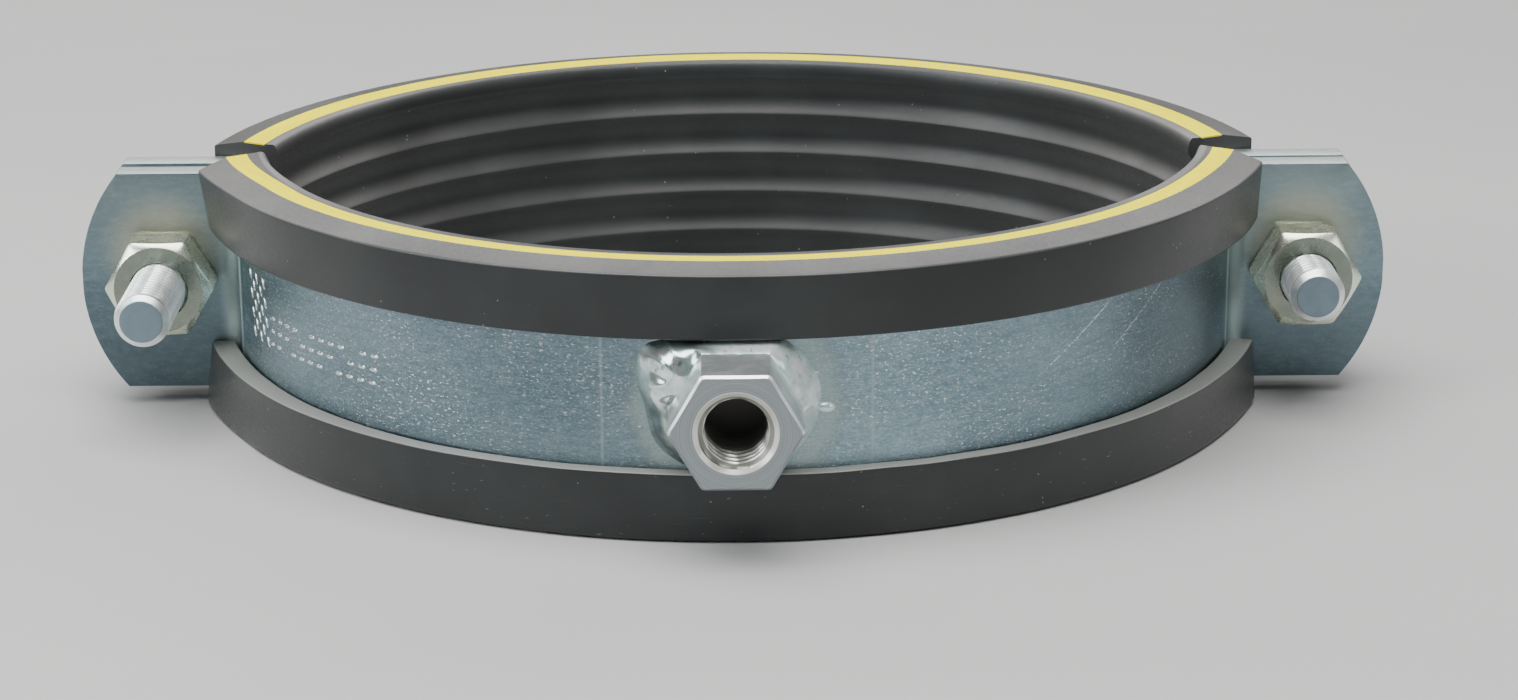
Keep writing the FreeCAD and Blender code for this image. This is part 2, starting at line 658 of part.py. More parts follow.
os.makedirs("parts", exist_ok=True)
for node in nodes:
    node.Shape.exportStep(f"parts/{node.Label}.step")
    box = node.Shape.BoundBox
    print(f"{node.Label:20s} solids {len(node.Shape.Solids)} volume {node.Shape.Volume:10.1f} "
          f"X {box.XMin:7.1f} {box.XMax:7.1f} Y {box.YMin:7.1f} {box.YMax:7.1f} "
          f"Z {box.ZMin:6.1f} {box.ZMax:6.1f}")
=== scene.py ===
"""Looks of the two-bolt, rubber-lined pipe clamp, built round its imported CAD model.

Every mesh is worked out in millimetres in the model's own frame and stored in metres.  The clamp
lies flat: Z is the pipe axis, the halves part at Y = 0, and the connection nut faces -Y.  A side
is -1 on the left and 1 on the right, seen from the connection nut.
"""
import json
import math

import bpy
import numpy as np
from mathutils import Matrix, Vector, noise


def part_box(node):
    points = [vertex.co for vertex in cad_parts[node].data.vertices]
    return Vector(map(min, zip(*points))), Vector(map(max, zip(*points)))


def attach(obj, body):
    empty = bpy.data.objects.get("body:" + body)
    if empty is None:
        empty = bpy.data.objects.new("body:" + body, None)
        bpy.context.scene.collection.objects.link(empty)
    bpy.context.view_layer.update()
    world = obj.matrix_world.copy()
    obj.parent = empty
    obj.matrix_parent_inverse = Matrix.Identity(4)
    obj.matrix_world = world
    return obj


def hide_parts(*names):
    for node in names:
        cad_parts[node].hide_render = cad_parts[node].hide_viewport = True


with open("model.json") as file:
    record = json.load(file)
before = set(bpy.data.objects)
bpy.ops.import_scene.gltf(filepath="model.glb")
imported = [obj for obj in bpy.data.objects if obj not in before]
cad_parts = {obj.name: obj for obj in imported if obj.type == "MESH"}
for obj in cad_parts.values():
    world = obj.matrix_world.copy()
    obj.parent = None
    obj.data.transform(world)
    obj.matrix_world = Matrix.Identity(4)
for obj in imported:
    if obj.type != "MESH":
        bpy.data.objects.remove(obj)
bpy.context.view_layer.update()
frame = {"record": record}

MM = 0.001


# ---- Sizes in millimetres, read from the CAD nodes and joints where they say them ----
def box_mm(node):
    """Lowest and highest corners of a CAD node, in millimetres."""
    low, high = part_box(node)
    return Vector(low) / MM, Vector(high) / MM


band_low, band_high = box_mm("front_band")
liner_low, liner_high = box_mm("front_liner")
boss_low, boss_high = box_mm("connection_nut")
nut_axis = next(Vector(joint["pos_m"]) / MM for joint in frame["record"]["behaviour"]["joints"]
                if joint["name"] == "right_nut_turn")

# Steel bands
BAND_ARC = 12.0  # the band's centre, past the parting plane
BAND_THICKNESS = 5.0
BAND_OUTER = BAND_ARC - band_low.y  # outer radius of the steel half ring
BAND_INNER = BAND_OUTER - BAND_THICKNESS
BAND_BOTTOM, BAND_TOP = band_low.z, band_high.z
BAND_MIDDLE = (BAND_BOTTOM + BAND_TOP) / 2
BEND_RADIUS = 3.5  # hollow side of the bend from ring to ear
EAR_TIP = band_high.x
EAR_ROUNDING = 31.05  # radius of the ear's rounded end
EAR_GAP = {-1: 2.4, 1: 1.2}  # openings between the ears at rest, by side
TIP_ANGLE = 0.07  # the ear's rounding starts here, off its middle
STRIP_MARGIN = 400.0  # keeps the inner face's pattern off the outer one's

# Rubber liners
LINER_ARC = 15.0  # the liner's centre, past the parting plane
LINER_OUTER = LINER_ARC - liner_low.y  # outer radius of the rubber lips
LINER_TOP = liner_high.z
LINER_INNER = 85.0  # crests of the sealing ribs
LIP_INNER = 94.7  # inner radius of the rubber lips
LIP_FROM = 94.0  # points beyond this radius belong to a lip
LOWER_LIP_TOP, UPPER_LIP_BOTTOM = 11.7, 34.3
LIP_SHOULDER = 45.1  # height of the upper lip's outer edge
GROOVE_REACH, GROOVE_DEPTH = 3.85, 1.5
GROOVE_PITCH, GROOVE_COUNT = 8.0, 5
FIRST_GROOVE = 7.0  # height of the lowest groove
STRIPE_INNER, STRIPE_OUTER = 87.6, 91.6
STRIPE_EDGE = 45.7  # height of the stripe's inner edge
INNER_EDGE_WIDTH, INNER_EDGE_DROP = 0.9, 2.7  # the liner's rounded inner edge
INNER_WALL = [STRIPE_EDGE - INNER_EDGE_DROP - 0.2 * k for k in range(207)]
REAR_END = {-1: 76.9, 1: 77.2}  # degrees from the middle to the liners' ends, by side
FRONT_END = {-1: 80.4, 1: 80.0}
TRIM_LINE = 82.5  # x + y of the front liner's trimmed corners
TRIM_HEIGHT = 30.0  # the trim reaches down to here
TRIM_LEAN = {-1: 1.4, 1: 0.8}  # how far the trim runs on and the lower lip leans
UPPER_LEAN = {-1: 1.7, 1: 0.7}
MAIN_DEGREES, MAIN_STEPS, END_STEPS = 66.0, 132, 16  # stations of a sweep

# Bolts and nuts
BOLT_REACH, BOLT_HEIGHT = nut_axis.x, nut_axis.z
BOSS_HEIGHT = (boss_low.z + boss_high.z) / 2
NUT_FLATS, NUT_CORNER, NUT_PITCH = 17.0, 9.68, 1.5  # M10
BOSS_FLATS, BOSS_CORNER, BOSS_PITCH = 19.0, 10.85, 1.75  # M12
MOUTH_RADIUS = 6.75  # of the connection nut's lead-in
SEGMENTS = 144  # round a hexagon or a thread
ANGLES = [2 * math.pi * k / SEGMENTS for k in range(SEGMENTS)]


def smoothstep(low, high, value):
    t = min(max((value - low) / (high - low), 0.0), 1.0)
    return t * t * (3 - 2 * t)


def wobble(x, y, z, size):
    """Smooth repeatable noise from -1 to 1 with features of about the given size."""
    return noise.noise(Vector((x, y, z)) / size)


def path_lengths(points):
    """Distance along a flat path to each of its points."""
    lengths = [0.0]
    for before, after in zip(points, points[1:]):
        lengths.append(lengths[-1] + math.dist(before[:2], after[:2]))
    return lengths


# ---- Mesh helpers ----
def smooth(mesh, sharp_degrees):
    """Shade a mesh smooth, but keep the edges that turn more than an angle sharp."""
    mesh.shade_smooth()
    mesh.set_sharp_from_angle(angle=math.radians(sharp_degrees))


def make_object(name, verts, faces, material, sharp_degrees=35, uvs=None):
    """Mesh object from millimetre vertices; uvs gives one pair per vertex, in millimetres."""
    mesh = bpy.data.meshes.new(name)
    mesh.from_pydata([tuple(c * MM for c in v) for v in verts], [], [tuple(f) for f in faces])
    mesh.validate()
    if uvs is not None:
        layer = mesh.uv_layers.new(name="surface")
        for loop in mesh.loops:
            layer.data[loop.index].uv = uvs[loop.vertex_index]
    smooth(mesh, sharp_degrees)
    mesh.materials.append(material)
    obj = bpy.data.objects.new(name, mesh)
    bpy.context.scene.collection.objects.link(obj)
    return obj


def grid_faces(rows, columns, closed_rows=False, closed_columns=False, first=0, flip=False):
    """Quads over a grid of rows * columns vertices stored row by row."""
    faces = []
    for i in range(rows if closed_rows else rows - 1):
        for j in range(columns if closed_columns else columns - 1):
            i2, j2 = (i + 1) % rows, (j + 1) % columns
            quad = [first + i * columns + j, first + i * columns + j2,
                    first + i2 * columns + j2, first + i2 * columns + j]
            faces.append(quad[::-1] if flip else quad)
    return faces


def rounded_outline(corners, steps=5):
    """Closed outline through (x, y, radius) corners, each rounded by an arc of that radius."""
    points = []
    count = len(corners)
    for i, (x, y, radius) in enumerate(corners):
        if radius <= 0:
            points.append((x, y))
            continue
        here = np.array((x, y))
        before = np.array(corners[i - 1][:2]) - here
        after = np.array(corners[(i + 1) % count][:2]) - here
        u, v = before / np.linalg.norm(before), after / np.linalg.norm(after)
        half = math.acos(max(-1.0, min(1.0, float(u @ v)))) / 2
        reach = min(radius / math.tan(half), 0.49 * np.linalg.norm(before),
                    0.49 * np.linalg.norm(after))
        start, end = here + u * reach, here + v * reach
        for k in range(steps + 1):
            t = k / steps
            points.append(tuple((1 - t) ** 2 * start + 2 * t * (1 - t) * here + t * t * end))
    return points


def circle_ring(radius, z, segments=SEGMENTS):
    """One ring of a turned piece."""
    angles = (2 * math.pi * k / segments for k in range(segments))
    return [(radius * math.cos(a), radius * math.sin(a), z) for a in angles]


def ring_stack(rings, loop=False):
    """Vertices and faces of a tube through equal rings, capped, or its last ring on its first."""
    segments = len(rings[0])
    verts = [point for ring in rings for point in ring]
    faces = grid_faces(len(rings), segments, closed_rows=loop, closed_columns=True)
    if not loop:
        faces += [list(range(segments))[::-1], list(range(len(verts) - segments, len(verts)))]
    return verts, faces


def lay(points, centre_x, start_y, centre_z):
    """Turn points with local Z as their axis so that local Z points along -Y."""
    return [(centre_x + x, start_y - z, centre_z + y) for x, y, z in points]


def place(obj, body, slot, *nodes):
    """A finished piece: it rides on a body and stands for CAD nodes, which it hides.  slot is not
    used.
    """
    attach(obj, body)
    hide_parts(*nodes)
    return obj


# ---- Materials ----
class Graph:
    """Small helper that adds and links the nodes of one material."""

    def __init__(self, name):
        self.material = bpy.data.materials.new(name)
        self.material.use_nodes = True
        self.tree = self.material.node_tree

    def feed(self, socket, value):
        """Link a node's output to a socket, or set the socket's own value."""
        if isinstance(value, bpy.types.NodeSocket):
            self.tree.links.new(value, socket)
        else:
            socket.default_value = value

    def add(self, kind, settings=None, **inputs):
        node = self.tree.nodes.new("ShaderNode" + kind)
        for key, value in (settings or {}).items():
            setattr(node, key, value)
        for key, value in inputs.items():
            self.feed(node.inputs[key.replace("_", " ")], value)
        return node

    def math(self, operation, first, second=0.0, clamp=False):
        node = self.add("Math", {"operation": operation, "use_clamp": clamp})
        self.feed(node.inputs[0], first)
        self.feed(node.inputs[1], second)
        return node.outputs[0]

    def times(self, first, *others):
        for other in others:
            first = self.math("MULTIPLY", first, other)
        return first

    def plus(self, first, *others):
        for other in others:
            first = self.math("ADD", first, other)
        return first

    def minus(self, first, second):
        return self.math("SUBTRACT", first, second)

    def size(self, value):
        return self.math("ABSOLUTE", value)

    def position(self):
        """Coordinates of the object in metres, for noise."""
        return self.add("TexCoord").outputs["Object"]

    def millimetres(self):
        """Coordinates of the object in millimetres, for measuring."""
        return self.add("VectorMath", {"operation": "SCALE"}, Vector=self.position(),
                        Scale=1 / MM).outputs["Vector"]

    def surface(self):
        """Coordinates along and across the surface, in millimetres."""
        return self.add("UVMap", {"uv_map": "surface"}).outputs["UV"]

    def facing(self):
        """The three parts of the surface's normal."""
        return self.split(self.add("NewGeometry").outputs["Normal"])

    def split(self, coordinates):
        return self.add("SeparateXYZ", Vector=coordinates).outputs

    def noise(self, coordinates, scale, detail=3.0, roughness=0.55):
        """Noise of one scale, or of two scales along and across the surface."""
        if isinstance(scale, tuple):
            coordinates = self.add("Mapping", Vector=coordinates,
                                   Scale=(*scale, 1.0)).outputs["Vector"]
            scale = 1.0
        return self.add("TexNoise", Vector=coordinates, Scale=scale, Detail=detail,
                        Roughness=roughness).outputs["Fac"]

    def remap(self, value, low, high, to_low=0.0, to_high=1.0):
        """Soft step from one value to another as a value passes from low to high."""
        return self.add("MapRange", {"clamp": True, "interpolation_type": "SMOOTHSTEP"},
                        Value=value, From_Min=low, From_Max=high, To_Min=to_low,
                        To_Max=to_high).outputs["Result"]

    def mix(self, factor, first, second, blend="MIX"):
        node = self.add("Mix", {"data_type": "RGBA", "blend_type": blend})
        self.feed(node.inputs[0], factor)
        for socket, value in ((node.inputs[6], first), (node.inputs[7], second)):
            self.feed(socket, (*value, 1.0) if isinstance(value, tuple) else value)
        return node.outputs[2]

    def layers(self, color, *layers):
        """Lay colours over a first one; each layer is (where, how much of it, colour)."""
        for where, share, over in layers:
            color = self.mix(where if share == 1.0 else self.times(where, share), color, over)
        return color

    def bump(self, height, strength, distance_mm):
        return self.add("Bump", Height=height, Strength=strength,
                        Distance=distance_mm * MM).outputs["Normal"]

    def radius(self, first, second):
        """Distance from an axis, from the two offsets from it."""
        off = self.add("CombineXYZ", X=first, Y=second).outputs[0]
        return self.add("VectorMath", {"operation": "LENGTH"}, Vector=off).outputs["Value"]

    def distance(self, millimetres, centre):
        """Distance from a point, in millimetres."""
        node = self.add("VectorMath", {"operation": "DISTANCE"}, Vector=millimetres)
        node.inputs[1].default_value = centre
        return node.outputs["Value"]

    def line(self, coordinate, centre, width):
        """A soft line where a coordinate is near a value."""
        return self.remap(self.size(self.minus(coordinate, centre)), width / 2, 0.0)

    def window(self, coordinate, low, high):
        """One between two values of a coordinate, fading over a tenth of the way."""
        fade = (high - low) / 10
        return self.times(self.remap(coordinate, low, low + fade),
                          self.remap(coordinate, high, high - fade))

    def finish(self, **inputs):
        """Feed the shader's sockets, and give back the material."""
        for key, value in inputs.items():
            self.feed(self.tree.nodes["Principled BSDF"].inputs[key.replace("_", " ")], value)
        return self.material


# Painted reflection along the front strip and its ears, as brightness steps: (start, end, change)
PAINTED_STRIP_REFLECTION = ((-95.0, -42.0, -0.22), (-35.0, 18.0, 0.44), (26.0, 50.0, -0.24),
               (50.0, 85.0, -0.38), (104.0, 120.0, 0.65), (122.0, 128.0, -0.32),
               (-104.0, -119.0, 0.50), (-122.0, -128.0, -0.72))


def strip_material(name, front):
    """Zinc-plated cold-rolled strip: blue-grey, with rolled flecks and press lines; painted
    reflection in its bends, painted highlights on its top edges and upper ears, painted shade on
    its lower ears.

    The front strip also carries the tint of the weld's heat, two scratches on its right side and
    steps of painted reflection along it.
    """
    g = Graph(name)
    surface, position, millimetres = g.surface(), g.position(), g.millimetres()
    along, across = g.split(surface)[:2]
    reach = g.size(along)
    patch = g.noise(surface, (0.42, 0.9), 5.0, 0.75)
    grain = g.noise(surface, (1.5, 3.4), 4.0, 0.7)
    zone = g.remap(g.noise(surface, (0.045, 0.10)), 0.36, 0.60, 0.15, 1.0)
    streaks = g.noise(surface, (0.16, 1.1), 4.0, 0.7)
    ring = g.remap(reach, 126.0, 112.0, 0.15, 1.0)
    ear = g.remap(reach, 119.0, 126.0)
    fleck = g.times(g.remap(g.noise(surface, (1.25, 2.6), 3.0, 0.65), 0.60, 0.645), zone, ring)
    color = g.mix(g.remap(g.noise(surface, (0.035, 0.06), 4.0), 0.3, 0.7),
                  (0.168, 0.248, 0.292), (0.250, 0.348, 0.395))
    color = g.layers(
        color,
        (g.remap(patch, 0.40, 0.68), 0.40, (0.42, 0.535, 0.57)),
        (g.times(g.remap(grain, 0.50, 0.72), ring), 0.60, (0.52, 0.64, 0.68)),
        (g.times(g.remap(grain, 0.48, 0.30), ring), 0.60, (0.110, 0.172, 0.212)),
        (fleck, 1.0, (1.0, 1.0, 1.0)),
        (g.times(g.remap(streaks, 0.52, 0.36), ring), 0.24, (0.115, 0.165, 0.195)),
        # painted highlight: the ears are painted paler towards their upper edge
        (g.times(ear, g.remap(across, 28.0, 43.0)), 0.40, (0.50, 0.62, 0.61)))
    # painted shade: the ears are painted darker towards their lower edge
    shade = g.minus(1.0, g.times(ear, g.remap(across, 26.0, 8.0, 0.0, 0.42)))
    if front:
        # painted reflection: brightness steps along the front strip
        steps = [g.remap(along, start, end, 0.0, change) for start, end, change in PAINTED_STRIP_REFLECTION]
        shade = g.times(shade, g.plus(0.95, *steps))
    grey = g.add("CombineColor", Red=shade, Green=shade, Blue=shade).outputs[0]
    press, bend, hollow = (g.line(reach, *line) for line in
                           ((22.2, 0.9), (121.0, 4.6), (125.5, 7.0)))
    color = g.layers(
        g.mix(1.0, color, grey, "MULTIPLY"),
        (press, 0.30, (0.50, 0.58, 0.60)),
        # painted reflection: the hollow and the bend from ring to ear are painted pale
        (hollow, 0.70, (0.44, 0.55, 0.54)),
        (bend, 0.85, (0.74, 0.86, 0.84)),
        # painted highlight: faces that look up, the strip's top edges, are painted pale
        (g.remap(g.facing()[2], 0.45, 0.85), 0.70, (0.80, 0.87, 0.84)))
    for side in (-1, 1):
        # golden tint on the strip round each bolt
        bolt_distance = g.distance(millimetres, (side * BOLT_REACH, 0.0, BOLT_HEIGHT + 5.0))
        color = g.layers(color, (g.remap(bolt_distance, 14.0, 8.0), 0.40, (0.62, 0.58, 0.40)))
    if front:
        ragged = g.plus(g.distance(millimetres, (0.0, band_low.y, BOSS_HEIGHT)),
                        g.times(g.noise(position, 240.0, 4.0), 4.0))
        halo = g.times(g.remap(ragged, 14.0, 16.5), g.remap(ragged, 20.5, 17.5))
        rim = g.times(g.remap(ragged, 17.5, 19.0), g.remap(ragged, 21.5, 19.5))
        color = g.layers(color, (halo, 0.50, (0.38, 0.46, 0.42)), (rim, 0.18, (0.20, 0.22, 0.21)))
        slant = g.plus(across, g.times(along, -0.62))
        dashes = g.remap(g.noise(surface, (1.5, 1.5), 2.0), 0.44, 0.54)
        for offset, start, share in ((-10.4, 54.0, 0.9), (-19.5, 70.0, 0.45)):
            scratch = g.times(g.line(slant, offset, 0.40), dashes,
                              g.window(along, start, start + 15.0))
            color = g.layers(color, (scratch, share, (0.88, 0.94, 0.94)))
    height = g.plus(g.times(grain, 1.2), g.times(fleck, 0.9), g.times(press, 0.5))
    # less metal in the bends, so that their painted reflection shows
    bent = g.math("MAXIMUM", bend, hollow)
    return g.finish(
        Base_Color=color, Normal=g.bump(height, 0.45, 0.07),
        Roughness=g.plus(g.remap(patch, 0.3, 0.75, 0.34, 0.48), g.times(fleck, -0.12)),
        Metallic=g.minus(1.0, g.times(bent, 0.65)))


def plated_material(name, dark, light, film, film_share, roughness, bolt_ends=(), face=None):
    """Zinc-plated turned or forged steel with a thin coloured film and small handling marks.

    bolt_ends lists (x, y) of the ends of bolts: their sawn faces are duller than the rest, and
    their thread roots get painted shade.  face is a painted shade laid on faces that look along
    -Y.
    """
    g = Graph(name)
    position = g.position()
    marks = g.noise(position, 420.0, 4.0, 0.6)
    color = g.layers(
        g.mix(g.remap(g.noise(position, 120.0), 0.35, 0.65), dark, light),
        (g.remap(g.noise(position, 75.0, 2.0), 0.38, 0.64), film_share, film),
        (g.remap(marks, 0.56, 0.72), 0.15, light))
    rough = g.remap(marks, 0.3, 0.7, roughness - 0.05, roughness + 0.08)
    for x, y in bolt_ends:
        across, back, high = g.split(g.millimetres())
        off = g.minus(across, x)
        shank = g.times(g.remap(back, y + 0.9, y + 1.6),
                        g.remap(back, BAND_THICKNESS + 0.5, BAND_THICKNESS))
        root = g.remap(g.radius(off, g.minus(high, BOLT_HEIGHT)), 4.75, 4.35)
        sawn = g.times(g.remap(g.size(off), 8.0, 7.0), g.remap(back, y + 0.12, y + 0.05))
        # painted shade in the thread's roots
        color = g.layers(color, (g.times(root, shank), 0.80, (0.10, 0.12, 0.115)),
                         (sawn, 0.95, (0.20, 0.27, 0.32)))
        rough = g.plus(rough, g.times(sawn, 0.15))
    if face:
        # painted shade on faces that look along -Y
        color = g.layers(color, (g.remap(g.facing()[1], -0.93, -0.99), 0.85, face))
    normal = g.bump(g.noise(position, 1300.0), 0.03 if face else 0.08, 0.04)
    return g.finish(Base_Color=color, Roughness=rough, Normal=normal, Metallic=0.92)


def machined_material(name):
    """Connection nut: turned grey face with fine circular marks, painted highlights on its upper
    bevels, painted shade on its lower bevels, its thread flanks and deep in its bore.
    """
    g = Graph(name)
    position = g.position()
    x, y, z = g.split(g.millimetres())
    facing = g.facing()
    radius = g.radius(x, g.minus(z, BOSS_HEIGHT))
    turning = g.noise(g.add("CombineXYZ", X=radius).outputs[0], (5.2, 1.0))
    end = g.remap(y, boss_low.y + 1.2, boss_low.y + 0.15)
    bevel = g.times(g.remap(facing[1], -0.92, -0.80), end)
    mouth = g.remap(radius, MOUTH_RADIUS + 0.2, MOUTH_RADIUS + 0.05)
    front = g.times(g.minus(end, bevel), g.minus(1.0, mouth))
    bore = g.times(g.remap(radius, 6.6, 6.2), g.remap(y, boss_low.y + 4.5, boss_low.y + 9.0))
    flank = g.times(g.remap(radius, 5.18, 5.42), g.remap(radius, 6.1, 6.0))
    side = g.layers(
        g.mix(g.remap(g.noise(position, 230.0, 4.0), 0.35, 0.65),
              (0.60, 0.64, 0.65), (0.84, 0.87, 0.88)),
        (g.times(g.remap(turning, 0.42, 0.60), mouth), 0.6, (0.30, 0.33, 0.33)),
        # painted highlight on bevels that look up, painted shade on bevels that look down
        (g.times(bevel, g.remap(facing[2], -0.2, 0.3)), 1.0, (0.97, 0.99, 0.99)),
        (g.times(bevel, g.remap(facing[2], 0.0, -0.3)), 1.0, (0.24, 0.27, 0.28)))
    face = g.mix(g.remap(turning, 0.35, 0.65), (0.26, 0.30, 0.31), (0.40, 0.44, 0.45))
    color = g.layers(
        side, (front, 1.0, face),
        (mouth, 0.5, (0.86, 0.84, 0.72)),
        # painted shade on the thread's flanks and deep in the bore
        (flank, 0.75, (0.12, 0.12, 0.10)),
        (bore, 1.0, (0.30, 0.29, 0.27)))
    height = g.plus(g.times(turning, front), g.times(g.noise(position, 1500.0), 0.4))
    return g.finish(Base_Color=color, Normal=g.bump(height, 0.3, 0.04), Metallic=0.85,
                    Roughness=g.plus(g.times(front, 0.14), 0.34, g.times(bore, 0.35)))


def weld_material(name):
    """Plated weld metal: dark smooth fillet, with teal-white painted highlights on its right flank
    and its splash.
    """
    g = Graph(name)
    position, millimetres = g.position(), g.millimetres()
    x, _, z = g.split(millimetres)
    cloud = g.noise(position, 320.0, 4.0, 0.6)
    dark = g.mix(g.remap(cloud, 0.35, 0.68), (0.20, 0.24, 0.24), (0.46, 0.53, 0.52))
    bright = g.mix(g.remap(cloud, 0.38, 0.62), (0.60, 0.80, 0.77), (1.0, 1.0, 1.0))
    right = g.remap(g.plus(x, g.times(z, 0.6)), 13.0, 19.0)
    splash = g.remap(g.distance(millimetres, (-12.6, -82.5, BOSS_HEIGHT + 6.8)), 8.5, 4.5)
    # painted highlight: the right flank and the splash are painted bright
    color = g.layers(
        g.mix(g.math("ADD", right, splash, clamp=True), dark, bright),
        (g.remap(g.noise(position, 160.0, 2.0), 0.46, 0.66), 0.45, (0.50, 0.72, 0.66)),
        (g.remap(g.noise(position, 520.0), 0.62, 0.72), 0.6, (0.10, 0.11, 0.11)))
    return g.finish(Base_Color=color, Roughness=g.remap(cloud, 0.3, 0.7, 0.26, 0.13),
                    Normal=g.bump(g.noise(position, 500.0), 0.16, 0.12),
                    # less metal on the right flank, so that its painted highlight shows
                    Metallic=g.minus(0.9, g.times(right, 0.45)))


def rubber_material(name):
    """Black EPDM: smooth, with a faint bloom, fine scratches on its outside and some dust, with
    painted sheen on upward faces, painted light towards the ends and a painted highlight on the
    lower lip's top.
    """
    g = Graph(name)
    surface, position = g.surface(), g.position()
    x, y, z = g.split(g.millimetres())
    up = g.facing()[2]
    sideways = g.size(x)
    inside = g.remap(g.radius(x, g.plus(g.size(y), LINER_ARC)), 87.5, 87.0)
    outside = g.remap(g.split(surface)[1], 74.0, 68.0)
    bloom = g.noise(position, 38.0, 4.0)
    scuff = g.times(g.remap(g.noise(surface, (0.06, 5.0), 3.0, 0.6), 0.66, 0.74, 0.0, 0.45),
                    outside)
    # dust on upward faces, which also paints the sheen of the light on them
    dust_and_sheen = g.times(g.remap(up, 0.05, 0.85), g.remap(bloom, 0.3, 0.7, 0.6, 1.0),
                   g.math("MAXIMUM", g.remap(z, 30.0, 40.0, 0.15, 1.0), inside))
    # painted highlight on the inner ribs near the liner's ends, less in its middle
    painted_rib_sheen = g.times(inside, g.remap(sideways, 30.0, 84.0, -0.09, 0.42))
    # painted highlight along the lower lip's top edge
    edge = g.times(g.window(z, LOWER_LIP_TOP - 0.7, LOWER_LIP_TOP + 0.6),
                   g.remap(up, 0.35, 0.8), outside)
    nick = g.times(g.remap(g.noise(surface, (0.55, 1.7), 2.0, 0.6), 0.70, 0.74), outside)
    cells = g.add("TexVoronoi", {"feature": "F1"}, Vector=position, Scale=700.0, Randomness=1.0)
    speck = g.times(g.remap(cells.outputs["Distance"], 0.14, 0.07),
                    g.remap(g.noise(position, 330.0, 2.0), 0.62, 0.68))
    color = g.layers(
        g.mix(g.remap(bloom, 0.35, 0.7), (0.0125, 0.0150, 0.0155), (0.024, 0.028, 0.028)),
        # painted light: the rubber is painted paler towards the liner's ends
        (g.remap(sideways, 52.0, 93.0), 0.55, (0.070, 0.072, 0.068)),
        (scuff, 1.0, (0.10, 0.108, 0.100)),
        (dust_and_sheen, g.plus(painted_rib_sheen, 0.27), (0.30, 0.288, 0.280)),
        (edge, 0.70, (0.38, 0.39, 0.36)),
        (nick, 0.5, (0.26, 0.29, 0.26)),
        (speck, 0.65, (0.36, 0.37, 0.33)))
    grain = g.noise(position, 1800.0)
    rough = g.plus(g.remap(grain, 0.3, 0.7, 0.30, 0.42), g.times(inside, 0.10))
    height = g.plus(g.times(grain, 0.5), g.times(scuff, 0.8))
    return g.finish(Base_Color=color, Roughness=rough, Normal=g.bump(height, 0.16, 0.05),
                    Specular_IOR_Level=0.50)


def stripe_material(name):
    """Yellow rubber stripe, slightly uneven in colour, with tiny dark flecks."""
    g = Graph(name)
    position = g.position()
    color = g.mix(g.remap(g.noise(g.surface(), (0.08, 0.8)), 0.3, 0.7),
                  (0.97, 0.82, 0.0), (1.0, 0.92, 0.0))
    flecks = g.remap(g.noise(position, 1400.0, 2.0), 0.70, 0.78)
    return g.finish(Base_Color=g.layers(color, (flecks, 0.45, (0.45, 0.33, 0.02))),
                    Roughness=g.remap(g.noise(position, 1100.0), 0.3, 0.7, 0.70, 0.82),
                    Normal=g.bump(g.noise(position, 1700.0), 0.15, 0.04),
                    Specular_IOR_Level=0.0)


def floor_material(name):
    """Plain pale matt floor with the faintest mottle."""
    g = Graph(name)
    cloud = g.remap(g.noise(g.position(), 6.0), 0.3, 0.7)
    return g.finish(Base_Color=g.mix(cloud, (0.47, 0.47, 0.47), (0.50, 0.50, 0.495)),
                    Roughness=0.75)


# ---- Steel half bands ----
def band_stations(turn):
    """Stations along a half band that bulges towards -Y, from the left ear's tip to the right's.

    Each station is (outer x, outer y, inner x, inner y, half height, distance along the strip).
    The rear band is worked out in the same way and then turned about the pipe axis, turn = -1.
    """
    half_width = (BAND_TOP - BAND_BOTTOM) / 2
    round_centre = EAR_TIP - EAR_ROUNDING
    crown = BEND_RADIUS + BAND_THICKNESS
    tip_steps, flat_steps, bend_steps, ring_steps = 18, 4, 14, 150

    def end_stations(side):
        """From the ear's tip to the start of the ring's arc on one side, and that arc's angle."""
        outer_y = -EAR_GAP[side * turn] / 2 - BAND_THICKNESS
        bend_y = outer_y - BEND_RADIUS
        bend_x = math.sqrt((BAND_OUTER + BEND_RADIUS) ** 2 - (BAND_ARC - bend_y) ** 2)
        corner = math.asin(half_width / EAR_ROUNDING)
        flat = []
        for k in range(tip_steps + 1):
            angle = TIP_ANGLE + (corner - TIP_ANGLE) * k / tip_steps
            flat.append((round_centre + EAR_ROUNDING * math.cos(angle),
                         EAR_ROUNDING * math.sin(angle)))
        corner_x = flat[-1][0]
        for k in range(1, flat_steps + 1):
            flat.append((corner_x + (bend_x - corner_x) * k / flat_steps, half_width))
        stations = [(x, outer_y, x, outer_y + BAND_THICKNESS, half) for x, half in flat]
        arc = math.atan2(bend_x, BAND_ARC - bend_y)
        for k in range(1, bend_steps + 1):
            swing = math.pi / 2 + arc * k / bend_steps
            cos, sin = math.cos(swing), math.sin(swing)
            stations.append((bend_x + BEND_RADIUS * cos, bend_y + BEND_RADIUS * sin,
                             bend_x + crown * cos, bend_y + crown * sin, half_width))
        return [(side * ox, oy, side * ix, iy, half) for ox, oy, ix, iy, half in stations], arc

    left, left_arc = end_stations(-1)
    right, right_arc = end_stations(1)
    ring = []
    for k in range(1, ring_steps):
        angle = -left_arc + (left_arc + right_arc) * k / ring_steps
        s, c = math.sin(angle), math.cos(angle)
        ring.append((BAND_OUTER * s, BAND_ARC - BAND_OUTER * c,
                     BAND_INNER * s, BAND_ARC - BAND_INNER * c, half_width))
    stations = left + ring + right[::-1]
    lengths = path_lengths(stations)
    return [(*station, along - lengths[-1] / 2) for station, along in zip(stations, lengths)]


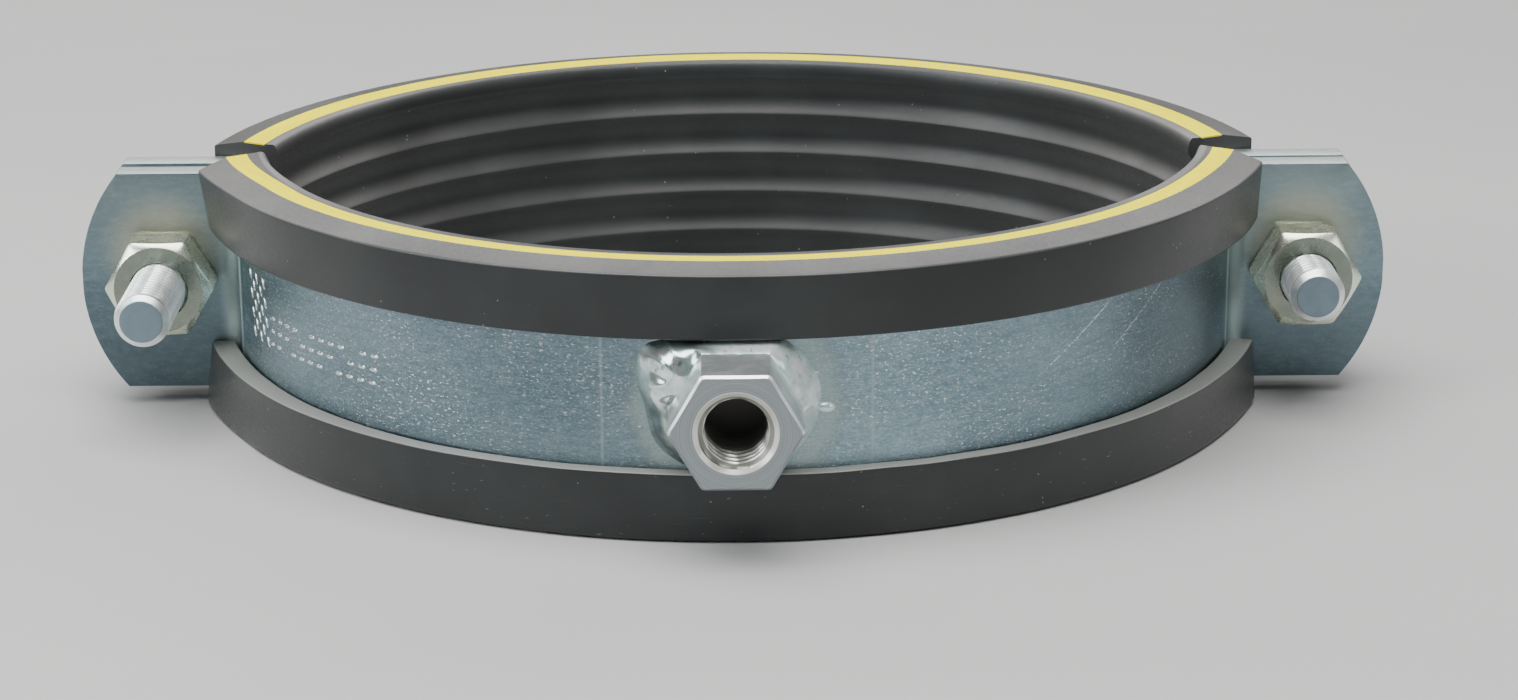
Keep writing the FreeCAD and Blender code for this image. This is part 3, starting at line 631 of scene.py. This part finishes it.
def make_band(name, rear, material):
    """Steel half band with rounded strip edges and drilled ears."""
    turn = -1 if rear else 1
    stations = band_stations(turn)
    count, rows = len(stations), 9
    verts, uvs = [], []
    for inner in (False, True):
        for ox, oy, ix, iy, half, along in stations:
            x, y = (ix, iy) if inner else (ox, oy)
            for j in range(rows):
                z = BAND_MIDDLE + half * (2 * j / (rows - 1) - 1)
                verts.append((turn * x, turn * y, z))
                uvs.append((along + (STRIP_MARGIN if inner else 0), z))
    back = count * rows
    faces = grid_faces(count, rows) + grid_faces(count, rows, first=back, flip=True)
    for i in range(count - 1):
        a, b = i * rows, (i + 1) * rows
        faces.append([a, b, back + b, back + a])
        a, b = a + rows - 1, b + rows - 1
        faces.append([b, a, back + a, back + b])
    for i in (0, count - 1):
        for j in range(rows - 1):
            a = i * rows + j
            quad = [a, a + 1, back + a + 1, back + a]
            faces.append(quad if i else quad[::-1])
    band = make_object(name, verts, faces, material, uvs=uvs)
    cutters = [hole_cutter(side, material) for side in (-1, 1)]
    for cutter in cutters:
        hole = band.modifiers.new("hole", "BOOLEAN")
        hole.operation, hole.solver, hole.object = "DIFFERENCE", "EXACT", cutter
    bevel = band.modifiers.new("edges", "BEVEL")
    bevel.width, bevel.segments = 0.7 * MM, 3
    bevel.limit_method, bevel.angle_limit = "ANGLE", math.radians(50)
    graph = bpy.context.evaluated_depsgraph_get()
    mesh = bpy.data.meshes.new_from_object(band.evaluated_get(graph))
    band.modifiers.clear()
    band.data = mesh
    smooth(mesh, 35)
    for cutter in cutters:
        bpy.data.objects.remove(cutter)
    return band


def hole_cutter(side, material):
    """Cylinder along Y through the ears on one side."""
    verts, faces = ring_stack([circle_ring(5.5, z, 64) for z in (20.0, -20.0)])
    return make_object("hole_cutter", lay(verts, side * BOLT_REACH, 0.0, BOLT_HEIGHT), faces,
                       material)


# ---- Rubber liners and their stripes ----
def band_distance(radius, angle):
    """Distance from the liner's centre to a circle round the band's centre, at an angle."""
    shift = LINER_ARC - BAND_ARC
    return shift * math.cos(angle) + math.sqrt(radius ** 2 - (shift * math.sin(angle)) ** 2)


def groove_depth(z):
    """Depth of the liner's inner grooves at a height: wide hollows between narrow soft crests."""
    nearest = min(max(round((z - FIRST_GROOVE) / GROOVE_PITCH), 0), GROOVE_COUNT - 1)
    away = min(abs(z - FIRST_GROOVE - nearest * GROOVE_PITCH), 0.55 * GROOVE_PITCH)
    depth = GROOVE_DEPTH * (1 - (away / GROOVE_REACH) ** 2)
    return (depth + math.sqrt(depth ** 2 + 0.08)) / 2


def liner_outline(floor):
    """Closed section of the liner as (radius, height) points; floor is its channel's radius."""
    outline = rounded_outline([
        (LINER_INNER + 1.4, 0.0, 0.5), (LINER_OUTER, 0.0, 1.0),
        (LINER_OUTER, LOWER_LIP_TOP, 0.4), (LIP_INNER, LOWER_LIP_TOP, 0.25),
        (LIP_INNER, BAND_BOTTOM, 0.0), (floor, BAND_BOTTOM, 0.0),
        (floor, BAND_TOP, 0.0), (LIP_INNER, BAND_TOP, 0.0),
        (LIP_INNER, UPPER_LIP_BOTTOM, 0.25), (LINER_OUTER, UPPER_LIP_BOTTOM, 0.5),
        (LINER_OUTER, LIP_SHOULDER, 0.5), (STRIPE_OUTER, LINER_TOP, 0.0),
        (STRIPE_OUTER, LINER_TOP - 0.25, 0.0), (STRIPE_INNER, STRIPE_EDGE - 0.25, 0.0),
        (STRIPE_INNER, STRIPE_EDGE, 0.0)])
    wall_radius = LINER_INNER + groove_depth(INNER_WALL[0])
    for k in range(12):
        turn = math.pi / 2 * k / 12
        outline.append((wall_radius + INNER_EDGE_WIDTH * (1 - math.sin(turn)),
                        STRIPE_EDGE - INNER_EDGE_DROP * (1 - math.cos(turn))))
    outline += [(LINER_INNER + groove_depth(z), z) for z in INNER_WALL]
    outline.append((LINER_INNER + 0.3, 0.9))
    return outline


def liner_end(radius, height, side, rear):
    """Angle from the liner's middle to its end on one side, at a point of its section."""
    ear = math.acos((LINER_ARC + EAR_GAP[side] / 2 + BAND_THICKNESS + 0.15) / radius)
    if rear:
        end = math.radians(REAR_END[side])
        return min(end, ear) if radius > LIP_FROM else end
    end = math.radians(FRONT_END[side])
    if height > TRIM_HEIGHT:
        line = TRIM_LINE + TRIM_LEAN[side] * smoothstep(LINER_OUTER, 92.0, radius)
        trim = math.asin((line - LINER_ARC) / (radius * math.sqrt(2))) + math.pi / 4
        return min(end, trim)
    if radius > LIP_FROM:
        return ear if side < 0 else math.radians(74.8)
    return end


def lean(radius, height, angle):
    """How far the front liner leans outward near its ends, which its band does not hold."""
    side = -1 if angle < 0 else 1
    near_end = smoothstep(62.0, 79.0, math.degrees(abs(angle)))
    if height < TRIM_HEIGHT:
        lip = smoothstep(LIP_INNER - 1.0, LINER_OUTER, radius)
        low = smoothstep(LOWER_LIP_TOP, LOWER_LIP_TOP - 3.0, height)
        return near_end * TRIM_LEAN[side] * lip * low
    start = UPPER_LIP_BOTTOM if radius > BAND_OUTER + 1 else BAND_TOP - 0.5
    most = UPPER_LEAN[side] * (0.25 + 0.75 * smoothstep(LINER_INNER, STRIPE_INNER, radius))
    return near_end * most * smoothstep(start, LIP_SHOULDER, height)


def sweep_angles(section, rear):
    """For each station of a sweep: the angle at which each point of the section lies."""
    main = math.radians(MAIN_DEGREES)

    def tail(side):
        """Stations from the liner's end on one side to its main part."""
        ends = [liner_end(radius, height, side, rear) for radius, height in section]
        return [[side * (main + (end - main) * (k / END_STEPS) ** 0.8) for end in ends]
                for k in range(END_STEPS, 0, -1)]

    middle = [[main * (2 * k / MAIN_STEPS - 1)] * len(section) for k in range(MAIN_STEPS + 1)]
    return tail(-1) + middle + tail(1)[::-1]


def sweep(name, section, rear, points_at, material, sharp_degrees=35):
    """Section swept along a half ring and capped at both ends.

    points_at turns a station's angles into its points: (radius, angle, height, surface pair).
    """
    turn = -1 if rear else 1
    stations = sweep_angles(section, rear)
    verts, uvs = [], []
    for angles in stations:
        for r, angle, z, uv in points_at(angles):
            verts.append((r * math.sin(angle), turn * (LINER_ARC - r * math.cos(angle)), z))
            uvs.append(uv)
    count = len(section)
    faces = grid_faces(len(stations), count, closed_columns=True, flip=not rear)
    caps = [list(range(count)), list(range(len(verts) - count, len(verts)))[::-1]]
    faces += [cap[::-1] for cap in caps] if rear else caps
    return make_object(name, verts, faces, material, sharp_degrees, uvs)


def make_liner(name, rear, material):
    """Rubber liner: its section swept along the half ring, with lips that lean out at the ends."""
    seed = 40.0 if rear else 0.0
    template = liner_outline(BAND_INNER + 3.0)
    lengths = path_lengths(template)

    def points_at(angles):
        outline = liner_outline(band_distance(BAND_INNER, angles[0]) - 0.05)
        for (radius, height), angle, length in zip(outline, angles, lengths):
            r, z = radius, height
            degrees = math.degrees(angle)
            if not rear:
                r += lean(radius, height, angle)
            if LIP_INNER - 0.3 < radius < LIP_INNER + 0.7 and height < TRIM_HEIGHT:
                r -= 1.5 * smoothstep(25.0, 70.0, abs(degrees))
            if radius > LIP_FROM:
                r += 0.10 * wobble(degrees, seed, height * 0.3, 9.0)
                if LOWER_LIP_TOP - 1.0 < height < LOWER_LIP_TOP + 0.1:
                    z += 0.12 * wobble(degrees, seed, 3.0, 7.0)
            elif radius < LINER_INNER + 2:
                r += 0.05 * wobble(degrees, seed, height * 0.2, 7.0)
            yield r, angle, z, (angle * LINER_OUTER + seed * 10, length)

    return sweep(name, template, rear, points_at, material, 38)


def make_stripe(name, rear, material):
    """Yellow stripe set flush in the liner's top face."""
    inner, outer = STRIPE_INNER - 0.05, STRIPE_OUTER
    section = rounded_outline([
        (inner, STRIPE_EDGE - 0.22, 0), (outer, LINER_TOP - 0.22, 0),
        (outer, LINER_TOP + 0.02, 0.12), (inner, STRIPE_EDGE + 0.02, 0.12)], steps=2)
    seed = 80.0 if rear else 60.0

    def points_at(angles):
        for (radius, height), angle in zip(section, angles):
            angle *= 0.9995
            edge = 5.0 if radius > (STRIPE_INNER + STRIPE_OUTER) / 2 else -5.0
            r = radius + 0.06 * wobble(math.degrees(angle), seed + edge, 0.0, 5.0)
            if not rear:
                r += lean(radius, height, angle)
            yield r, angle, height, (angle * STRIPE_OUTER, radius)

    return sweep(name, section, rear, points_at, material)


# ---- Threads, nuts and bolts: worked out along their own axis, then laid along -Y ----
def thread_depth(turns):
    """Share of the thread's depth cut away at a point, from 0 on the crest to 1 in the root."""
    phase = turns - math.floor(turns)
    if phase < 0.0625 or phase > 0.9375:
        return 0.0
    if 0.375 < phase < 0.625:
        return 1.0
    return (phase - 0.0625) / 0.3125 if phase < 0.5 else (0.9375 - phase) / 0.3125


def thread_rings(crest, root, pitch, start, end, radius_limit):
    """Rings of a helical thread; crest and root are its radii, in either order."""
    rings = []
    steps = max(2, int(round((end - start) / pitch * 12)))
    for k in range(steps + 1):
        z = start + (end - start) * k / steps
        ring = []
        for angle in ANGLES:
            r = crest + (root - crest) * thread_depth(z / pitch - angle / (2 * math.pi))
            r = radius_limit(z, r)
            ring.append((r * math.cos(angle), r * math.sin(angle), z))
        rings.append(ring)
    return rings


def hexagon_radius(angle, flats, corner):
    """Distance from a hexagon's axis to its side, with its corners turned down to a radius."""
    step = math.pi / 3
    local = (angle + step / 2) % step - step / 2
    to_flat = abs(local) - step / 2
    return min(flats / 2 / math.cos(to_flat), corner)


def hex_rings(flats, corner, bottom, top, low_face=None, high_face=None, edge=0.18):
    """Rings up the outside of a hexagon from its lower face to its upper face.

    low_face and high_face are the radii of faces that are chamfered at 30 degrees.
    """
    slope = math.tan(math.radians(30))

    def side(height_of, inset=0.0):
        ring = []
        for a in ANGLES:
            r = hexagon_radius(a, flats, corner)
            ring.append(((r - inset) * math.cos(a), (r - inset) * math.sin(a), height_of(r)))
        return ring

    def low(r):
        return bottom + max(0.0, r - low_face) * slope

    def high(r):
        return top - max(0.0, r - high_face) * slope

    if low_face:
        rings = [circle_ring(low_face, bottom), side(lambda r: low(r) - edge * 0.3, edge),
                 side(lambda r: low(r) + edge)]
    else:
        rings = [side(lambda r: bottom)]
    if high_face:
        return rings + [side(lambda r: high(r) - edge), side(lambda r: high(r) + edge * 0.3, edge),
                        circle_ring(high_face, top)]
    return rings + [side(lambda r: top - edge), side(lambda r: top, edge)]


def make_nut(name, node, material):
    """M10 nut with both faces chamfered and a real thread in its bore."""
    low, high = box_mm(node)
    height = high.y - low.y
    face = NUT_FLATS / 2 * 0.93

    def mouth(z, r):
        """Countersink both ends of the bore."""
        from_end = min(z, height - z)
        return max(r, 5.20 - from_end) if from_end < 0.7 else r

    inner = thread_rings(5.0, 5.42, NUT_PITCH, 0.0, height, mouth)
    outer = hex_rings(NUT_FLATS, NUT_CORNER, 0.0, height, face, face)
    verts, faces = ring_stack(outer + inner[::-1], loop=True)
    verts = lay(verts, (low.x + high.x) / 2, high.y, BOLT_HEIGHT)
    return make_object(name, verts, faces, material, 28)


def make_bolt(name, node, material):
    """M10 hexagon bolt: chamfered head, rolled thread to the neck, chamfered end."""
    low, high = box_mm(node)
    head_height, neck_radius = 6.4, 5.3
    shoulder = high.y - head_height
    length = shoulder - low.y
    chamfer, end_radius, crest, root = 1.3, 3.7, 4.93, 4.12

    def end_limit(z, r):
        """Chamfer the bolt's end and let the thread fade out on it."""
        from_end = length - z
        cone = end_radius + (crest - end_radius) * min(1.0, from_end / chamfer)
        faded = crest - (crest - r) * smoothstep(0.2, 1.8, from_end)
        return min(faded, cone)

    head = hex_rings(NUT_FLATS, NUT_CORNER, -head_height, 0.0, NUT_FLATS / 2 * 0.95)
    shank = thread_rings(crest, root, NUT_PITCH, 0.0, length, end_limit)
    end_face = [circle_ring(r, length + z) for r, z in
                ((end_radius - 0.12, 0.04), (2.6, 0.03), (1.2, 0.02), (0.1, 0.02))]
    verts, faces = ring_stack(head + [circle_ring(neck_radius, 0.0)] + shank + end_face)
    verts = lay(verts, (low.x + high.x) / 2, shoulder, BOLT_HEIGHT)
    return make_object(name, verts, faces, material, 28)


def make_connection_nut(name, material):
    """M12 connection nut: bevelled outer face, threaded bore, back sunk into the weld."""
    back = boss_high.y
    height = back - boss_low.y
    lead, minor, major = 1.1, 5.1, 6.02

    def mouth(z, r):
        """Cone at the bore's mouth, which cuts into the thread."""
        from_face = height - z
        cone = MOUTH_RADIUS - (MOUTH_RADIUS - minor) * from_face / lead
        return max(r, cone) if from_face < lead else r

    outer = hex_rings(BOSS_FLATS, BOSS_CORNER, 0.0, height, edge=0.42)
    inner = thread_rings(minor + 0.02, major, BOSS_PITCH, 1.0, height, mouth)
    floor = [circle_ring(r, 0.9) for r in (4.0, 2.0, 0.2)]
    verts, faces = ring_stack(outer + inner[::-1] + floor)
    return make_object(name, lay(verts, 0.0, back, BOSS_HEIGHT), faces, material, 28)


# ---- Weld ----
def band_face(x):
    """Y of the front band's outer surface at x."""
    return BAND_ARC - math.sqrt(BAND_OUTER ** 2 - x * x)


def bell(angle, centre_degrees, width):
    """Smooth bump round a direction, at most 1; width is in radians."""
    off = angle - math.radians(centre_degrees)
    off = math.atan2(math.sin(off), math.cos(off))
    return math.exp(-(off / width) ** 2)


def make_weld(name, material):
    """Hand-laid fillet weld: a splashed start at the upper left, smooth flanks and ripples."""
    segments, steps = 320, 34
    rise = 4.7
    verts = []
    for k in range(segments):
        angle = 2 * math.pi * k / segments
        sine = math.sin(angle)
        splash = bell(angle, 152, 0.42)
        base = 13.0 + 4.6 * splash + 1.0 * bell(angle, 10, 0.75) + 1.9 * bell(angle, 205, 0.5)
        base += 0.35 * wobble(math.cos(angle), sine, 0.0, 0.5)
        base += splash * 0.9 * wobble(math.cos(angle), sine, 4.0, 0.20)
        room = (UPPER_LIP_BOTTOM - BOSS_HEIGHT if sine > 0 else BOSS_HEIGHT - LOWER_LIP_TOP) - 0.15
        base = min(base, room / max(abs(sine), 0.01))
        wall = hexagon_radius(angle, BOSS_FLATS, BOSS_CORNER) - 0.3
        top = bell(angle, 90, 0.6)
        for j in range(steps):
            t = j / (steps - 1)
            radius = base + (wall - base) * t
            bead = math.sin(math.pi * t) ** 0.6
            height = rise * (0.30 * t + 0.70 * math.sin(t * math.pi / 2) ** 1.1)
            height += 1.1 * splash * math.sin(math.pi * min(1.0, 1.25 * t)) ** 2 * bead
            height += 0.5 * bell(angle, 42, 0.22) * bead
            x, z = radius * math.cos(angle), radius * sine
            fold = 1.0 - abs(wobble(x, z, 5.0, 4.2)) * 2.0
            height += 0.85 * splash * fold * bead
            height += (0.08 + 0.12 * splash) * wobble(x, z, 9.0, 2.1) * bead
            arc = math.sin(angle * 24 + 4.0 * t + 2.5 * wobble(x, z, 1.0, 3.5))
            height += (0.02 + 0.06 * top + 0.04 * splash) * arc * bead
            sink = 0.3 * (1 - t) ** 10
            verts.append((x, band_face(x) - max(height, 0.0) + sink, BOSS_HEIGHT + z))
    first_back = len(verts)
    for k in range(segments):
        low, high = verts[k * steps], verts[(k + 1) * steps - 1]
        for (x, _, z), share in ((low, 0.93), (high, 0.97)):
            x, z = x * share, BOSS_HEIGHT + (z - BOSS_HEIGHT) * share
            verts.append((x, band_face(x) + 0.35, z))
    faces = grid_faces(segments, steps, closed_rows=True)
    for k in range(segments):
        after = (k + 1) % segments
        low, low2 = k * steps, after * steps
        top, top2 = low + steps - 1, low2 + steps - 1
        back, back2 = first_back + 2 * k, first_back + 2 * after
        faces += [[low2, low, back, back2], [back2, back, back + 1, back2 + 1],
                  [back2 + 1, back + 1, top, top2]]
    for x, z, size in ((14.6, -1.4, 1.4), (-15.4, -4.6, 0.4)):
        add_drop(verts, faces, x, BOSS_HEIGHT + z, size)
    return make_object(name, verts, faces, material, 60)


def add_drop(verts, faces, x, z, size):
    """Drop of weld spatter frozen on the band."""
    rings, segments = 8, 20
    first = len(verts)
    for i in range(rings):
        lift = math.pi / 2 * i / (rings - 1)
        for k in range(segments):
            angle = 2 * math.pi * k / segments
            r = size * (math.cos(lift) + 0.002) * (1 + 0.10 * math.sin(2 * angle + x))
            px, pz = x + r * math.cos(angle), z + 0.75 * r * math.sin(angle)
            verts.append((px, band_face(px) - size * 0.5 * math.sin(lift) + 0.05, pz))
    faces += grid_faces(rings, segments, closed_columns=True, first=first)
    faces += [list(range(first, first + segments))[::-1],
              list(range(len(verts) - segments, len(verts)))]


# ---- Stamped marks ----
def make_marks(name, material):
    """A plain stamped pattern near the left end of the front band: a hatched patch and dashes."""
    verts, faces = [], []

    def bead(along, height, length, width, tilt):
        """One raised dash on the band's outer face, at an arc length from the front centre."""
        first = len(verts)
        rings, segments = 4, 12
        for i in range(rings):
            lift = math.pi / 2 * i / (rings - 1)
            for k in range(segments):
                angle = 2 * math.pi * k / segments
                u = length / 2 * math.cos(angle) * math.cos(lift)
                v = width / 2 * math.sin(angle) * math.cos(lift)
                s = along + u * math.cos(tilt) - v * math.sin(tilt)
                z = height + u * math.sin(tilt) + v * math.cos(tilt)
                r = BAND_OUTER - 0.02 + 0.20 * math.sin(lift)
                verts.append((r * math.sin(s / BAND_OUTER),
                              BAND_ARC - r * math.cos(s / BAND_OUTER), z))
        faces.extend(grid_faces(rings, segments, closed_columns=True, first=first, flip=True))
        faces.append(list(range(first, first + segments)))

    for row in range(7):
        for column in range(5):
            if (row + column) % 2 == 0:
                bead(-109.5 + column * 1.9 + row * 0.25, 29.0 - row * 1.7, 2.3, 0.7,
                     math.radians(-62))
    for k in range(12):
        for row, height in enumerate((18.9, 21.3, 23.7)):
            if (k * 3 + row * 2) % 5 != 1:
                bead(-98.5 + k * 2.9 + row * 0.4, height + 0.06 * k, 2.0, 0.75, math.radians(6))
    return make_object(name, verts, faces, material, 60)


# ---- Camera, lights and floor ----
def make_camera():
    """Camera at the viewing height and distance of a product shot taken from the front."""
    position = Vector((-0.696, -618.765, 199.79)) * MM
    yaw, pitch, roll = -0.00835, -0.30175, 0.00588
    turn = (Matrix.Rotation(yaw, 3, "Z") @ Matrix.Rotation(pitch, 3, "X")
            @ Matrix.Rotation(roll, 3, "Y"))
    right, forward, up = turn.col
    axes = Matrix((right, up, -forward)).transposed()
    data = bpy.data.cameras.new("camera")
    data.sensor_width, data.sensor_fit = 36.0, "HORIZONTAL"
    data.lens = 83.42
    data.clip_start = 0.01
    camera = bpy.data.objects.new("camera", data)
    camera.matrix_world = Matrix.Translation(position) @ axes.to_4x4()
    bpy.context.scene.collection.objects.link(camera)
    bpy.context.scene.camera = camera


# Area lights in metres and watts: (name, place, aim, width and height, power, colour)
LIGHTS = (
    ("overhead", (-0.1, -0.20, 0.95), (0, 0, 0.02), (1.1, 0.8), 18.0, (1.0, 0.99, 0.98)),
    ("back", (0.0, 0.95, 0.72), (0, 0, 0.03), (3.6, 0.50), 14.5, (1.0, 0.98, 0.97)),
    ("left", (-0.9, -0.45, 0.5), (-0.05, 0, 0.02), (0.5, 0.5), 5.8, (0.95, 0.98, 1.0)),
    ("right", (0.9, -0.5, 0.45), (0.05, 0, 0.02), (0.4, 0.5), 1.5, (0.96, 0.98, 1.0)),
)


def make_studio():
    """Pale floor, large soft lights overhead and behind, and weak fill from the front."""
    reach, level = 4000.0, -0.2
    corners = [(x * reach, y * reach, level) for x, y in ((-1, -1), (1, -1), (1, 1), (-1, 1))]
    make_object("floor", corners, [range(4)], floor_material("floor"))
    for name, place_at, aim_at, size, power, color in LIGHTS:
        data = bpy.data.lights.new(name, "AREA")
        data.shape = "RECTANGLE"
        data.size, data.size_y = size
        data.energy, data.color = power, color
        light = bpy.data.objects.new(name, data)
        aim = (Vector(aim_at) - Vector(place_at)).to_track_quat("-Z", "Y")
        light.matrix_world = Matrix.Translation(Vector(place_at)) @ aim.to_matrix().to_4x4()
        bpy.context.scene.collection.objects.link(light)
    world = bpy.data.worlds.new("studio")
    world.use_nodes = True
    background = world.node_tree.nodes["Background"]
    background.inputs["Color"].default_value = (0.80, 0.83, 0.86, 1.0)
    background.inputs["Strength"].default_value = 0.16
    bpy.context.scene.world = world


# ---- The clamp ----
def build_clamp():
    front_strip = strip_material("zinc_strip_front", front=True)
    rear_strip = strip_material("zinc_strip_rear", front=False)
    rubber = rubber_material("liner_rubber")
    yellow = stripe_material("stripe_rubber")
    bolt_ends = [(side * BOLT_REACH, box_mm(node)[0].y)
                 for side, node in ((-1, "left_bolt"), (1, "right_bolt"))]
    bolt_steel = plated_material("bolt_zinc", (0.86, 0.93, 0.91), (0.98, 1.0, 0.99),
                                 (0.90, 0.97, 0.95), 0.4, 0.40, bolt_ends)
    # the nuts' faces that look along -Y get painted shade
    nut_steel = plated_material("nut_zinc", (0.78, 0.82, 0.64), (0.98, 0.96, 0.80),
                                (0.76, 0.92, 0.80), 0.5, 0.26, face=(0.14, 0.17, 0.145))
    marks = plated_material("mark_zinc", (0.80, 0.86, 0.86), (0.98, 1.0, 1.0),
                            (0.80, 0.92, 0.88), 0.4, 0.22)

    place(make_band("front_strip", False, front_strip), "front_half", "zinc_strip", "front_band")
    place(make_band("rear_strip", True, rear_strip), "rear_half", "zinc_strip", "rear_band")
    place(make_liner("front_rubber", False, rubber), "front_half", "rubber", "front_liner")
    place(make_liner("rear_rubber", True, rubber), "rear_half", "rubber", "rear_liner")
    place(make_stripe("front_yellow", False, yellow),
          "front_half", "stripe", "front_liner_stripe")
    place(make_stripe("rear_yellow", True, yellow),
          "rear_half", "stripe", "rear_liner_stripe")
    place(make_connection_nut("boss_nut", machined_material("machined_zinc")),
          "front_half", "connection_steel", "connection_nut")
    place(make_weld("boss_weld", weld_material("weld_metal")), "front_half", "weld", "weld_bead")
    stamped = make_marks("stamped_marks", marks)
    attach(stamped, "front_half")
    for hand in ("left", "right"):
        bolt, nut = f"{hand}_bolt", f"{hand}_nut"
        place(make_bolt(f"{hand}_screw", bolt, bolt_steel), "rear_half", "bolt_steel", bolt)
        place(make_nut(f"{hand}_hexnut", nut, nut_steel), nut, "nut_zinc", nut)


make_camera()
make_studio()
build_clamp()
